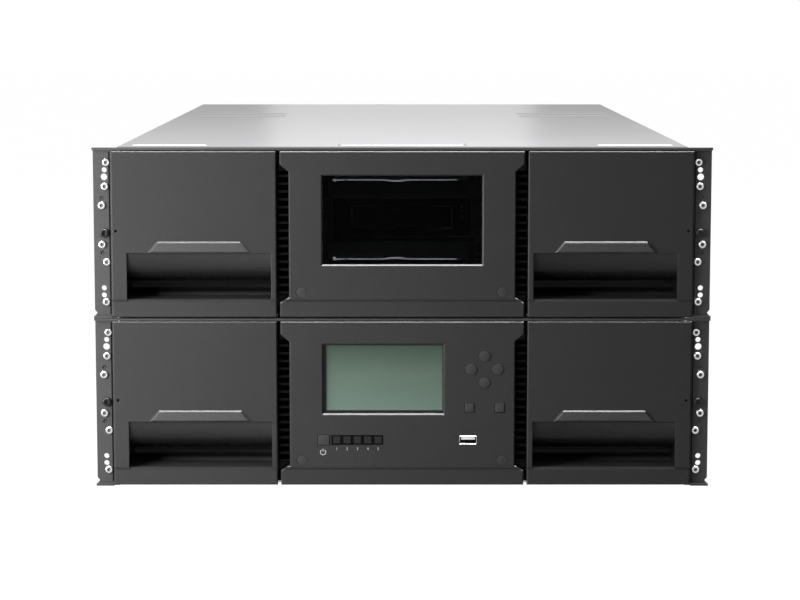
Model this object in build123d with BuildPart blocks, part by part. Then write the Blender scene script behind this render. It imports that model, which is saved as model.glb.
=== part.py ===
from build123d import *
import math
import os

# A rack-mounted data tape library: two stacked modules with pull-out magazines on
# both sides, a picker robot that rises on geared racks between them, and tape
# drives, power supplies and a controller card at the rear.
# Lengths are millimetres. X runs along the front, Y to the rear, Z up.
# The origin is under the middle of the whole, on the surface it stands on.

os.makedirs("parts", exist_ok=True)

# Rack and chassis: the widths below add up to a 482.6 rack panel over a 446 chassis, and
# the lengths to 860 from the front face to the rear panel
module_height = 133.35
ear_reach = 18.3
rack_hole_inset = 8.75
bulkhead_front = 604.5
rear_bay_length = 255.5
rear_reach = 32.0
pad_rise = 1.6
sheet = 1.5

# Clearances
module_gap = 0.3
seat_gap = 0.2
slide_gap = 0.3
running_gap = 0.05
overrun = 1.0

# Front face: each bezel and each centre panel is one moulded face
bay_inner = 98.1
bezel_overhang = 4.0
panel_side_gap = 2.6
face_bottom = 0.8
face_headroom = 2.55
rail_height = 1.95
face_thickness = 3.0
face_bevel = 0.8
panel_wall = 2.5

# Depths behind the front face
ear_front = 3.6
ear_sheet = 2.0
frame_front = 14.4
cover_seam = bulkhead_front + 8.0
tray_front = 42.0

# Magazines and their cartridges
cartridge_length = 105.4
cartridge_width = 102.0
cartridge_height = 21.5
cartridge_inset = 4.0
column_gap = 8.0
row_gap = 2.5
slot_side_gap = 2.5
slot_roof_gap = 1.0
tray_floor = 6.6
tray_outer_wall = 2.4
magazine_head = 25.5
guide_thickness = 10.7

# Robot: a lift frame between four racks, its pinions and the picker on it
rack_pitch = 6.35
pinion_teeth = 12
robot_height = 31.0
robot_rest_gap = 0.6
lift_side_gap = 4.6
rack_inset = 22.1
rack_width = 8.0

slot_width = cartridge_width + 2 * slot_side_gap
slot_height = cartridge_height + slot_roof_gap
slot_depth = cartridge_inset + cartridge_length + seat_gap
tray_inner = bay_inner + 2 * seat_gap
tray_outer = tray_inner + slot_depth + tray_outer_wall
wall_inner = tray_outer + slide_gap + guide_thickness
wall_outer = wall_inner + sheet
panel_width = 2 * (wall_outer + ear_reach)
stud_x = panel_width / 2 - rack_hole_inset
bezel_outer = wall_outer + bezel_overhang
panel_half_width = bay_inner - panel_side_gap
aisle_rack_inner = bay_inner - rack_inset
lift_half_width = bay_inner - lift_side_gap
face_top = module_height - face_headroom
rail_bottom = module_height - rail_height
first_column_depth = tray_front + magazine_head + slot_width / 2
column_pitch = cartridge_width + column_gap
row_pitch = cartridge_height + row_gap
columns = int((bulkhead_front - first_column_depth) / column_pitch)
rows = int((module_height - tray_floor) / row_pitch)
cover_depth = bulkhead_front + rear_bay_length
overall_depth = pad_rise + cover_depth + rear_reach
front_y = pad_rise - overall_depth / 2
stack_height = 2 * module_height
module_bases = {"lower": 0, "upper": module_height}
side_signs = {"left": -1, "right": 1}


def y_at(depth):
    """Y of a point this far behind the front face."""
    return front_y + depth


def front_plane(depth):
    """Upright plane this far behind the front face; its sketches use X and Z."""
    return Plane.XZ.offset(-y_at(depth))


def handed(sign, inner, outer):
    """X span on one side between two distances from the middle."""
    return tuple(sorted((sign * inner, sign * outer)))


def around(middle, length):
    """Span of a length about its middle."""
    return (middle - length / 2, middle + length / 2)


def span_rectangle(u_span, v_span, mode=Mode.ADD):
    """Rectangle between two pairs of sketch coordinates."""
    with Locations(((u_span[0] + u_span[1]) / 2, (v_span[0] + v_span[1]) / 2)):
        Rectangle(u_span[1] - u_span[0], v_span[1] - v_span[0], mode=mode)


def block(x_span, depth_span, z_span, mode=Mode.ADD):
    """Plain block between pairs of X, of depth behind the front face and of Z."""
    spans = (x_span, (y_at(depth_span[0]), y_at(depth_span[1])), z_span)
    with Locations(tuple((low + high) / 2 for low, high in spans)):
        Box(*[high - low for low, high in spans], mode=mode)


def save(piece, node):
    """Label a finished piece and write it under its node's name."""
    piece.part.label = node
    export_step(piece.part, f"parts/{node}.step")


# Base floor: one pan under the lower module, its long edges turned up inside the walls
floor_lip = 12.0
floor_front = frame_front
floor_length = cover_depth - sheet - floor_front

with BuildPart() as base_floor:
    with BuildSketch(front_plane(floor_front)):
        span_rectangle((-wall_inner, wall_inner), (0, floor_lip))
        span_rectangle((sheet - wall_inner, wall_inner - sheet), (sheet, floor_lip + overrun), Mode.SUBTRACT)
    extrude(amount=-floor_length)
save(base_floor, "base_floor")

# Middle decks: the upper module's floor, open over the robot's aisle, so that it is a
# plate under each magazine bay and one under the drive bays
deck_top = module_height + sheet

with BuildPart() as middle_decks:
    for sign in side_signs.values():
        block(handed(sign, bay_inner, wall_inner), (floor_front, bulkhead_front), (module_height, deck_top))
    deck_rear_span = (bulkhead_front + module_gap, cover_depth - sheet)
    block((-wall_inner, wall_inner), deck_rear_span, (module_height, deck_top))
save(middle_decks, "middle_decks")

# Side walls: one sheet on each side of each module, its top edge folded inward
wall_flange = 8.0
wall_front = frame_front + sheet
emboss = 0.8
cover_under = stack_height - emboss - sheet
wall_tops = {"lower": module_height - module_gap, "upper": cover_under}

with BuildPart() as side_walls:
    for module, base in module_bases.items():
        with BuildSketch(front_plane(wall_front)):
            span_rectangle((wall_inner - wall_flange, wall_outer), (base, wall_tops[module]))
            wall_hollow_x = (wall_inner - wall_flange - overrun, wall_inner)
            span_rectangle(wall_hollow_x, (base - overrun, wall_tops[module] - sheet), Mode.SUBTRACT)
        extrude(amount=wall_front - (cover_depth - sheet))
    mirror(about=Plane.YZ)
save(side_walls, "side_walls")

# Top covers: a lid over the magazines and a shorter one over the drives, their sides
# folded down outside the walls, with pads, a raised plate and beads pressed into them
cover_front = wall_front + seat_gap
cover_flange = 10.0
cover_half_width = wall_outer + sheet
front_pad_length = 60.0
front_pad_width = 9.0
front_pad_inset = 8.0
front_pad_depth = 50.0
lock_plate_length = 103.0
lock_plate_width = 34.0
lock_plate_depth = 58.0
lock_plate_corner = 5.0
bead_length = 92.0
bead_width = 4.0
bead_inset = 14.0
bead_spacing = 50.0
emboss_slope = 60.0
pad_middle = wall_outer - front_pad_inset - front_pad_length / 2
bead_middle = wall_outer - bead_inset - bead_length / 2


def cover_lid(depth_span):
    """Sheet lid with folded sides between two depths, added to the part in work."""
    lid_z = (stack_height - cover_flange, cover_under + sheet)
    under_z = (stack_height - cover_flange - overrun, cover_under)
    with BuildSketch(front_plane(depth_span[0])) as lid:
        span_rectangle((-cover_half_width, cover_half_width), lid_z)
        span_rectangle((-wall_outer, wall_outer), under_z, Mode.SUBTRACT)
    extrude(lid.sketch, amount=depth_span[0] - depth_span[1])


with BuildPart() as top_cover:
    cover_lid((cover_front, cover_seam - module_gap))
    with BuildSketch(Plane.XY.offset(cover_under + sheet)):
        for sign in side_signs.values():
            with Locations((sign * pad_middle, y_at(front_pad_depth))):
                Rectangle(front_pad_length, front_pad_width)
            with Locations((sign * bead_middle, y_at(cover_seam - bead_spacing))):
                Rectangle(bead_length, bead_width)
        with Locations((0, y_at(lock_plate_depth))):
            RectangleRounded(lock_plate_length, lock_plate_width, lock_plate_corner)
    extrude(amount=emboss, taper=emboss_slope)
save(top_cover, "top_cover")

with BuildPart() as rear_top_cover:
    cover_lid((cover_seam, cover_depth))
    with BuildSketch(Plane.XY.offset(cover_under + sheet)):
        for sign in side_signs.values():
            with Locations((sign * bead_middle, y_at(cover_seam + bead_width))):
                Rectangle(bead_length, bead_width)
    extrude(amount=emboss, taper=emboss_slope)
save(rear_top_cover, "rear_top_cover")

# Front frames: in each module two uprights beside the robot's aisle and a rail along
# the top; a flange on each upright backs the panel's vent and carries a lift rack
bay_gap = 1.1
upright_outer = bay_inner - bay_gap
upright_flange_inner = aisle_rack_inner - seat_gap
upright_depth = 44.0
upright_top = cover_under - module_height - seat_gap
rail_front = 0.6

with BuildPart() as front_frames:
    for module, base in module_bases.items():
        rail_top = base + module_height - (module_gap if module == "lower" else 0)
        block((-wall_outer, wall_outer), (rail_front, frame_front + sheet), (base + rail_bottom, rail_top))
        for sign in side_signs.values():
            flange_x = handed(sign, upright_flange_inner, upright_outer)
            block(flange_x, (frame_front, frame_front + sheet), (base + sheet, base + rail_bottom))
            web_x = handed(sign, upright_outer - sheet, upright_outer)
            block(web_x, (frame_front, frame_front + upright_depth), (base + sheet, base + upright_top))
save(front_frames, "front_frames")

# Rack ears: a pressed plate at each side of each module with a leg along the wall, a
# nick at the lower corner and flanges folded forward at the top and bottom
ear_inset = 0.5
ear_leg_depth = 60.0
ear_leg_inset = 8.0
ear_leg_drop = 11.35
ear_flange = 1.6
nick_depth = 2.0
nick_bottom = 1.6
nick_top = 6.4
ear_hole_radius = 2.1
large_ear_hole_radius = 2.7
ear_hole_sides = 12
stud_radius = 2.5
stud_clearance = 0.4
ear_hole_shares = ((0.50, 0.870), (0.57, 0.176), (0.57, 0.134))
large_ear_hole_share = (0.513, 0.829)
ear_screw_shares = (
    (0.412, 0.914),
    (0.48, 0.7735),
    (0.62, 0.662),
    (0.62, 0.433),
    (0.43, 0.330),
    (0.466, 0.0945),
)


def ear_place(share, base):
    """X and Z of a share of the right ear's reach and of the module's height."""
    return (wall_outer + share[0] * ear_reach, base + share[1] * module_height)


for module, base in module_bases.items():
    with BuildPart() as rack_ears:
        ear_top = base + module_height - (module_gap if module == "lower" else 0)
        ear_edge = wall_outer + ear_reach - ear_inset
        with BuildSketch(front_plane(ear_front)):
            span_rectangle((wall_outer, ear_edge), (base, ear_top))
            with BuildLine():
                Polyline(
                    (ear_edge, base + nick_bottom),
                    (ear_edge - nick_depth, base + (nick_bottom + nick_top) / 2),
                    (ear_edge, base + nick_top),
                    close=True,
                )
            make_face(mode=Mode.SUBTRACT)
            with Locations(*[ear_place(share, base) for share in ear_hole_shares]):
                RegularPolygon(ear_hole_radius, ear_hole_sides, mode=Mode.SUBTRACT)
            with Locations(ear_place(large_ear_hole_share, base)):
                RegularPolygon(large_ear_hole_radius, ear_hole_sides, mode=Mode.SUBTRACT)
            with Locations((stud_x, base + module_height / 2)):
                Circle(stud_radius + stud_clearance, mode=Mode.SUBTRACT)
        extrude(amount=-ear_sheet)
        leg_span = (ear_front + ear_sheet, ear_front + ear_leg_depth)
        leg_z = (base + ear_leg_inset, base + module_height - ear_leg_drop)
        block((wall_outer, wall_outer + ear_sheet), leg_span, leg_z)
        lip_span = (rail_front, ear_front + ear_sheet)
        block((wall_outer, wall_outer + ear_reach), lip_span, (base + rail_bottom, ear_top))
        lower_lip_x = (bezel_outer + slide_gap, wall_outer + ear_reach)
        block(lower_lip_x, lip_span, (base, base + ear_flange))
        mirror(about=Plane.YZ)
    save(rack_ears, f"{module}_rack_ears")

# Ear screws: plated machine screws that hold the ears to the walls and guides
screw_head_radius = 3.1
screw_head_height = 1.8
screw_head_sides = 10

with BuildPart() as ear_screws:
    with BuildSketch(front_plane(ear_front)):
        for base in module_bases.values():
            with Locations(*[ear_place(share, base) for share in ear_screw_shares]):
                RegularPolygon(screw_head_radius, screw_head_sides)
    extrude(amount=screw_head_height)
    mirror(about=Plane.YZ)
save(ear_screws, "ear_screws")

# Captive rack screws: black studs at mid-height of each ear, which fasten the library
# to the rack's front rails
stud_head_radius = 3.6
stud_head_height = 2.8
stud_head_sides = 12
stud_neck_radius = 2.7
stud_neck_rise = 0.6
stud_length = 16.0

with BuildPart() as captive_rack_screws:
    stud_places = [(stud_x, base + module_height / 2) for base in module_bases.values()]
    with BuildSketch(front_plane(ear_front)):
        with Locations(*stud_places):
            RegularPolygon(stud_head_radius, stud_head_sides)
    extrude(amount=stud_head_height)
    with BuildSketch(front_plane(ear_front)):
        with Locations(*stud_places):
            RegularPolygon(stud_neck_radius, stud_head_sides)
    extrude(amount=-(ear_sheet + stud_neck_rise))
    with BuildSketch(front_plane(ear_front)):
        with Locations(*stud_places):
            Circle(stud_radius)
    extrude(amount=-(ear_sheet + stud_length))
    mirror(about=Plane.YZ)
save(captive_rack_screws, "captive_rack_screws")

# Centre panels: moulded faces with skirts, notched along both sides for the vents
notch_depth = 7.0
notch_top = module_height - 12.75
notch_top_inner = module_height - 18.55
notch_bottom_inner = 16.4
notch_bottom = 12.3
panel_depth = frame_front - seat_gap
mark_radius = 5.0
mark_depth = 0.3
mark_x = panel_half_width - 17.0
mark_z = 20.5
window_half_width = 62.2
window_height = 69.4
window_middle_share = 0.578
window_bevel = 1.2
display_width = 93.8
display_height = 54.2
display_place_shares = (-0.156, 0.638)
display_bevel = 1.4


def panel_place(shares):
    """X and Z of shares of the centre panel's half width and of the module's height."""
    return (shares[0] * panel_half_width, shares[1] * module_height)


display_middle = panel_place(display_place_shares)
display_x = around(display_middle[0], display_width)
display_z = around(display_middle[1], display_height)
window_z = around(module_height * (1 + window_middle_share), window_height)


def panel_outline(base):
    """Notched outline of a centre panel, as sketch points."""
    half = [
        (panel_half_width, face_bottom),
        (panel_half_width, notch_bottom),
        (panel_half_width - notch_depth, notch_bottom_inner),
        (panel_half_width - notch_depth, notch_top_inner),
        (panel_half_width, notch_top),
        (panel_half_width, face_top),
    ]
    return [(x, base + z) for x, z in half] + [(-x, base + z) for x, z in reversed(half)]


def centre_panel_shell(base):
    """Panel face with its skirts and corner marks, added to the part in work."""
    with BuildSketch(front_plane(0)) as outline:
        with BuildLine():
            Polyline(*panel_outline(base), close=True)
        make_face()
    extrude(outline.sketch, amount=-panel_depth)
    front_face = faces().sort_by(Axis.Y)[0]
    chamfer(front_face.edges(), length=face_bevel)
    with BuildSketch(front_plane(panel_depth)) as hollow:
        with BuildLine():
            Polyline(*panel_outline(base), close=True)
        make_face()
        offset(amount=-panel_wall, kind=Kind.INTERSECTION)
    extrude(hollow.sketch, amount=panel_depth - face_thickness, mode=Mode.SUBTRACT)
    with BuildSketch(front_plane(0)) as marks:
        with Locations((-mark_x, base + mark_z), (mark_x, base + mark_z)):
            RegularPolygon(mark_radius, 6)
    extrude(marks.sketch, amount=-mark_depth, mode=Mode.SUBTRACT)


def bevelled_opening(x_span, z_span, bevel):
    """Opening through the panel's face, widened by a bevel at the front."""
    with BuildSketch(front_plane(0)) as mouth:
        span_rectangle((x_span[0] - bevel, x_span[1] + bevel), (z_span[0] - bevel, z_span[1] + bevel))
    extrude(mouth.sketch, amount=-bevel, taper=45, mode=Mode.SUBTRACT)
    block(x_span, (-overrun, face_thickness + overrun), z_span, Mode.SUBTRACT)


with BuildPart() as upper_centre_panel:
    centre_panel_shell(module_height)
    bevelled_opening((-window_half_width, window_half_width), window_z, window_bevel)
save(upper_centre_panel, "upper_centre_panel")

# Lower panel controls: four arrow keys about a middle, two square keys, a power key, a
# row of status lights and a front port
arrow_keys_shares = (0.6775, 0.696)
key_offset = 10.4
key_radius = 4.5
square_key = 7.2
square_keys_shares = (0.6775, 0.467)
square_key_offset = 11.8
power_key_shares = (-0.647, 0.2756)
power_key_width = 9.0
light_bar_shares = (-0.3696, 0.2756)
light_bar_width = 40.8
light_bar_height = 7.9
port_shares = (0.5424, 0.2756)
port_width = 14.0
port_height = 6.9
key_rise = 0.6
key_foot_depth = 8.0
board_front = 9.5
board_thickness = 1.5
board_half_width = panel_half_width - 11.5
board_bottom = 20.0
board_top = module_height - 15.35
boss_radius = 3.0
boss_sides = 6

key_centre_x, key_centre_z = panel_place(arrow_keys_shares)
square_keys_x, square_keys_z = panel_place(square_keys_shares)
power_key_x, power_key_z = panel_place(power_key_shares)
light_bar_middle, light_bar_z = panel_place(light_bar_shares)
light_bar_x = around(light_bar_middle, light_bar_width)
port_x, port_z = panel_place(port_shares)

arrow_keys = {
    "up_key": (key_centre_x, key_centre_z + key_offset),
    "down_key": (key_centre_x, key_centre_z - key_offset),
    "left_key": (key_centre_x - key_offset, key_centre_z),
    "right_key": (key_centre_x + key_offset, key_centre_z),
}
square_keys = {
    "back_key": (square_keys_x - square_key_offset, square_keys_z, square_key, square_key),
    "enter_key": (square_keys_x + square_key_offset, square_keys_z, square_key, square_key),
    "power_key": (power_key_x, power_key_z, power_key_width, light_bar_height),
}
boss_places = [
    (sign * (board_half_width - 2 * boss_radius), height)
    for sign in side_signs.values()
    for height in (board_bottom + 3 * boss_radius, board_top - 2 * boss_radius)
]

with BuildPart() as lower_centre_panel:
    centre_panel_shell(0)
    bevelled_opening(display_x, display_z, display_bevel)
    with BuildSketch(front_plane(0)):
        with Locations(*arrow_keys.values()):
            RegularPolygon(key_radius + slide_gap, 6)
        for key_x, key_z, key_width, key_height in square_keys.values():
            with Locations((key_x, key_z)):
                Rectangle(key_width + 2 * slide_gap, key_height + 2 * slide_gap)
        span_rectangle(light_bar_x, around(light_bar_z, light_bar_height))
        span_rectangle(around(port_x, port_width), around(port_z, port_height))
    extrude(amount=-face_thickness - overrun, mode=Mode.SUBTRACT)
    with BuildSketch(front_plane(face_thickness)):
        with Locations(*boss_places):
            RegularPolygon(boss_radius, boss_sides)
    extrude(amount=face_thickness - board_front)
save(lower_centre_panel, "lower_centre_panel")

# Keys: sprung caps in the panel's openings, each on a wider foot that stops it falling
# out and presses a switch on the board
key_foot_rim = 0.7
key_foot_front = face_thickness + slide_gap

for node, (key_x, key_z) in arrow_keys.items():
    with BuildPart() as arrow_key:
        with BuildSketch(front_plane(-key_rise)):
            with Locations((key_x, key_z)):
                RegularPolygon(key_radius, 6)
        extrude(amount=-key_rise - key_foot_front)
        chamfer(faces().sort_by(Axis.Y)[0].edges(), length=key_rise / 2)
        with BuildSketch(front_plane(key_foot_front)):
            with Locations((key_x, key_z)):
                RegularPolygon(key_radius + key_foot_rim, 6)
        extrude(amount=key_foot_front - key_foot_depth)
    save(arrow_key, node)

for node, (key_x, key_z, key_width, key_height) in square_keys.items():
    with BuildPart() as square_cap:
        block(around(key_x, key_width), (-key_rise, key_foot_front), around(key_z, key_height))
        chamfer(faces().sort_by(Axis.Y)[0].edges(), length=key_rise / 2)
        foot_x = around(key_x, key_width + 2 * key_foot_rim)
        foot_z = around(key_z, key_height + 2 * key_foot_rim)
        block(foot_x, (key_foot_front, key_foot_depth), foot_z)
    save(square_cap, node)

# Status light bar: a dark moulding behind its opening with five raised windows
light_count = 5
light_window_share = 0.78
light_bar_front = 0.5
light_rise = 0.2
light_bar_rim = 0.6

with BuildPart() as status_light_bar:
    lens_x = around(light_bar_middle, light_bar_width - slide_gap)
    block(lens_x, (light_bar_front, face_thickness), around(light_bar_z, light_bar_height - slide_gap))
    rim_x = (light_bar_x[0] + light_bar_rim, light_bar_x[1] + light_bar_rim)
    block(rim_x, (face_thickness, board_front), around(light_bar_z, light_bar_height + 2 * light_bar_rim))
    light_pitch = light_bar_width / light_count
    with BuildSketch(front_plane(light_bar_front)):
        with Locations((light_bar_middle, light_bar_z)):
            with GridLocations(light_pitch, 0, light_count, 1):
                Rectangle(light_pitch * light_window_share, light_bar_height * light_window_share)
    extrude(amount=light_rise)
save(status_light_bar, "status_light_bar")

# Front port: a folded metal shell with its tongue
port_wall = 0.7
port_front = 0.4
port_tongue = 2.0

with BuildPart() as front_port:
    port_x_span = around(port_x, port_width - slide_gap)
    port_z_span = around(port_z, port_height - slide_gap)
    block(port_x_span, (port_front, board_front), port_z_span)
    mouth_x_span = (port_x_span[0] + port_wall, port_x_span[1] - port_wall)
    mouth_z_span = (port_z_span[0] + port_wall, port_z_span[1] - port_wall)
    block(mouth_x_span, (port_front - overrun, board_front - port_wall), mouth_z_span, Mode.SUBTRACT)
    tongue_z_span = (mouth_z_span[1] - port_tongue - port_wall, mouth_z_span[1] - port_wall)
    tongue_x_span = (mouth_x_span[0] + port_wall, mouth_x_span[1] - port_wall)
    block(tongue_x_span, (port_front + port_wall, board_front), tongue_z_span)
save(front_port, "front_port")

# Display module: a framed liquid crystal panel behind its opening
display_rim = 3.0

with BuildPart() as display_module:
    module_x = (display_x[0] - display_rim, display_x[1] + display_rim)
    module_z = (display_z[0] - display_rim, display_z[1] + display_rim)
    block(module_x, (face_thickness, board_front), module_z)
save(display_module, "display_module")

# Panel board: the printed circuit board behind the lower panel, on the panel's bosses
with BuildPart() as panel_board:
    board_span = (board_front, board_front + board_thickness)
    block((-board_half_width, board_half_width), board_span, (board_bottom, board_top))
save(panel_board, "panel_board")

# Window pane: a clear sheet behind the upper panel's opening
pane_rim = 4.0
pane_thickness = 2.5

with BuildPart() as window_pane:
    pane_z = (window_z[0] - pane_rim, window_z[1] + pane_rim)
    pane_x = (-window_half_width - pane_rim, window_half_width + pane_rim)
    block(pane_x, (face_thickness, face_thickness + pane_thickness), pane_z)
save(window_pane, "window_pane")

# Window clips: two spring strips across the back of the pane, each with a pip at one
# end and a bowed middle
clip_length = 96.0
clip_middle_x = -5.0
clip_bow_share = 0.16
clip_thickness = 1.1
clip_inset = 3.7

with BuildPart() as window_clips:
    clip_span = around(clip_middle_x, clip_length)
    bow_span = around(clip_middle_x, clip_length * clip_bow_share)
    for clip_z, bow_sign in ((window_z[0] + clip_inset, 1), (window_z[1] - clip_inset, -1)):
        clip_front = face_thickness + pane_thickness
        with BuildSketch(front_plane(clip_front)):
            span_rectangle(clip_span, around(clip_z, clip_thickness))
            span_rectangle(bow_span, around(clip_z + bow_sign * clip_thickness / 2, clip_thickness))
            with Locations((clip_span[0], clip_z)):
                Rectangle(2 * clip_thickness, 2 * clip_thickness)
        extrude(amount=-clip_thickness)
save(window_clips, "window_clips")

# Side louvres: slatted vent inserts in the notches beside each centre panel
louvre_inner = panel_half_width - notch_depth + slide_gap
louvre_outer = bay_inner - 2 * slide_gap
louvre_front = 3.0
louvre_back = frame_front - seat_gap
louvre_web = 1.5
louvre_pitch = 6.1
louvre_blade = 1.8

with BuildPart() as side_louvres:
    for base in module_bases.values():
        louvre_z = (base + notch_bottom_inner + slide_gap, base + notch_top_inner - slide_gap)
        louvre_x = (louvre_inner, louvre_outer)
        block(louvre_x, (louvre_back - louvre_web, louvre_back), louvre_z)
        blade_count = int((notch_top_inner - notch_bottom_inner) / louvre_pitch)
        blade_middle = base + (notch_top_inner + notch_bottom_inner) / 2
        with BuildSketch(Plane.YZ.offset(louvre_inner)):
            with Locations((y_at((louvre_front + louvre_back) / 2), blade_middle)):
                with GridLocations(0, louvre_pitch, 1, blade_count):
                    Rectangle(louvre_back - louvre_front, louvre_blade)
        extrude(amount=louvre_outer - louvre_inner)
    mirror(about=Plane.YZ)
save(side_louvres, "side_louvres")

# Magazine bezels: a moulded face with a raised thumb pad over a scooped finger pocket,
# and a box behind it that carries the pocket to the magazine's front wall
pocket_inner = bay_inner + 4.4
pocket_outer = bezel_outer - 11.8
pocket_bottom = 14.6
pocket_top = 51.3
pocket_depth = 36.0
pocket_wall = 2.0
pocket_lip_bevel = 1.4
scoop_floor_share = 0.78
scoop_bend_share = 0.25
grip_depth_share = 0.78
grip_drop_share = 0.64
grip_middle_shares = (0.2, 0.46)
thumb_pad_bottom_length = 80.4
thumb_pad_top_length = 64.8
thumb_pad_height = 9.2
thumb_pad_slope = 50.0
release_hole_radius = 1.15
release_hole_sides = 8
release_hole_x = bezel_outer - 3.7
release_hole_z = 68.4
pocket_middle = (pocket_inner + pocket_outer) / 2
pocket_length = pocket_outer - pocket_inner


def pocket_scoop(base):
    """Side profile of the finger pocket: level floor, rounded back, and a bulging grip under its roof."""
    floor_z = base + pocket_bottom
    roof_z = base + pocket_top
    rise = roof_z - floor_z
    bend_start = (y_at(pocket_depth * scoop_floor_share), floor_z)
    bend_end = (y_at(pocket_depth), floor_z + rise * scoop_bend_share)
    grip_start = (y_at(face_thickness / 2), roof_z)
    grip_middle = (y_at(pocket_depth * grip_middle_shares[0]), roof_z - rise * grip_middle_shares[1])
    grip_end = (y_at(pocket_depth * grip_depth_share), roof_z - rise * grip_drop_share)
    with BuildLine() as scoop:
        Polyline(grip_start, (y_at(-overrun), roof_z), (y_at(-overrun), floor_z), bend_start)
        TangentArc(bend_start, bend_end, tangent=(1, 0))
        Polyline(bend_end, (bend_end[0], grip_end[1]), grip_end)
        ThreePointArc(grip_end, grip_middle, grip_start)
    return scoop.line


for module, base in module_bases.items():
    for side, sign in side_signs.items():
        with BuildPart() as magazine_bezel:
            face_x = handed(sign, bay_inner, bezel_outer)
            block(face_x, (0, face_thickness), (base + face_bottom, base + face_top))
            chamfer(faces().sort_by(Axis.Y)[0].edges(), length=face_bevel)
            shell_x = handed(sign, pocket_inner - pocket_wall, pocket_outer + pocket_wall)
            shell_z = (base + pocket_bottom - pocket_wall, base + pocket_top + pocket_wall)
            block(shell_x, (face_thickness, tray_front), shell_z)
            with BuildSketch(Plane.YZ.offset(sign * pocket_inner)):
                add(pocket_scoop(base))
                make_face()
            extrude(amount=sign * pocket_length, mode=Mode.SUBTRACT)
            with BuildSketch(Plane.YZ.offset(sign * pocket_inner)):
                lip_z = base + pocket_bottom
                with BuildLine():
                    Polyline(
                        (y_at(0), lip_z - pocket_lip_bevel),
                        (y_at(pocket_lip_bevel), lip_z),
                        (y_at(0), lip_z),
                        close=True,
                    )
                make_face()
            extrude(amount=sign * pocket_length, mode=Mode.SUBTRACT)
            with BuildSketch(front_plane(0)):
                pad_bottom = base + pocket_top
                middle = sign * pocket_middle
                with BuildLine():
                    Polyline(
                        (middle - thumb_pad_bottom_length / 2, pad_bottom),
                        (middle - thumb_pad_top_length / 2, pad_bottom + thumb_pad_height),
                        (middle + thumb_pad_top_length / 2, pad_bottom + thumb_pad_height),
                        (middle + thumb_pad_bottom_length / 2, pad_bottom),
                        close=True,
                    )
                make_face()
            extrude(amount=pad_rise, taper=90 - thumb_pad_slope)
            with BuildSketch(front_plane(0)):
                with Locations((sign * release_hole_x, base + release_hole_z)):
                    RegularPolygon(release_hole_radius, release_hole_sides)
            extrude(amount=-face_thickness, mode=Mode.SUBTRACT)
        save(magazine_bezel, f"{module}_{side}_bezel")

# Magazine trays: a rack of slots open to the robot's aisle, five rows of four columns,
# with a compartment behind the bezel
tray_base = 4.0
tray_roof = 2.5
tray_front_wall = 3.0
tray_rear = first_column_depth + (columns - 1) * column_pitch + slot_width / 2 + tray_front_wall
tray_top = tray_floor + (rows - 1) * row_pitch + slot_height + tray_roof
first_slot_front = first_column_depth - slot_width / 2
empty_column = 0
empty_row = rows - 1

for module, base in module_bases.items():
    for side, sign in side_signs.items():
        with BuildPart() as magazine_tray:
            tray_x = handed(sign, tray_inner, tray_outer)
            block(tray_x, (tray_front, tray_rear), (base + tray_base, base + tray_top))
            columns_middle = first_column_depth + (columns - 1) * column_pitch / 2
            rows_middle = base + tray_floor + (rows - 1) * row_pitch / 2 + slot_height / 2
            with BuildSketch(Plane.YZ.offset(sign * tray_inner)):
                with Locations((y_at(columns_middle), rows_middle)):
                    with GridLocations(column_pitch, row_pitch, columns, rows):
                        Rectangle(slot_width, slot_height)
                compartment_y = (y_at(tray_front + tray_front_wall), y_at(first_slot_front - tray_front_wall))
                span_rectangle(compartment_y, (base + tray_floor, base + tray_top - tray_roof))
            extrude(amount=sign * slot_depth, mode=Mode.SUBTRACT)
        save(magazine_tray, f"{module}_{side}_magazine")

# Cartridges: tape cartridges lying in the slots, notched near the aisle for the
# picker's fingers; the top front slot of each magazine is left empty as the mail slot
grip_notch_radius = 4.0
grip_notch_inset = 9.5

for module, base in module_bases.items():
    for side, sign in side_signs.items():
        with BuildPart() as cartridges:
            middle_x = sign * (tray_inner + cartridge_inset + cartridge_length / 2)
            notch_x = sign * (tray_inner + cartridge_inset + grip_notch_inset)
            for row in range(rows):
                filled = [c for c in range(columns) if (c, row) != (empty_column, empty_row)]
                middles_y = [y_at(first_column_depth + c * column_pitch) for c in filled]
                with BuildSketch(Plane.XY.offset(base + tray_floor + row * row_pitch)):
                    with Locations(*[(middle_x, y) for y in middles_y]):
                        Rectangle(cartridge_length, cartridge_width)
                    with Locations(*[(notch_x, y) for y in middles_y]):
                        with GridLocations(0, cartridge_width, 1, 2):
                            RegularPolygon(grip_notch_radius, 4, mode=Mode.SUBTRACT)
                extrude(amount=cartridge_height)
        save(cartridges, f"{module}_{side}_cartridges")

# Magazine runners: strips on the floor and a guide on the wall for each magazine
runner_width = 8.0
runner_shares = (0.055, 0.9)
guide_bottom = 58.0
guide_height = 8.0

with BuildPart() as magazine_runners:
    for base in module_bases.values():
        for sign in side_signs.values():
            runner_depths = (first_slot_front, bulkhead_front - runner_width)
            for share in runner_shares:
                strip_start = tray_inner + share * slot_depth
                strip_x = handed(sign, strip_start, strip_start + runner_width)
                block(strip_x, runner_depths, (base + sheet, base + tray_base - seat_gap))
            guide_x = handed(sign, tray_outer + slide_gap, wall_inner)
            block(guide_x, runner_depths, (base + guide_bottom, base + guide_bottom + guide_height))
save(magazine_runners, "magazine_runners")

# Bay walls: a sheet on each side of the drive bays in each module, folded outward at
# the front to carry the rear lift racks
drive_bay_half_width = bay_inner - 22.6
bay_wall_fold = 16.0

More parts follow.
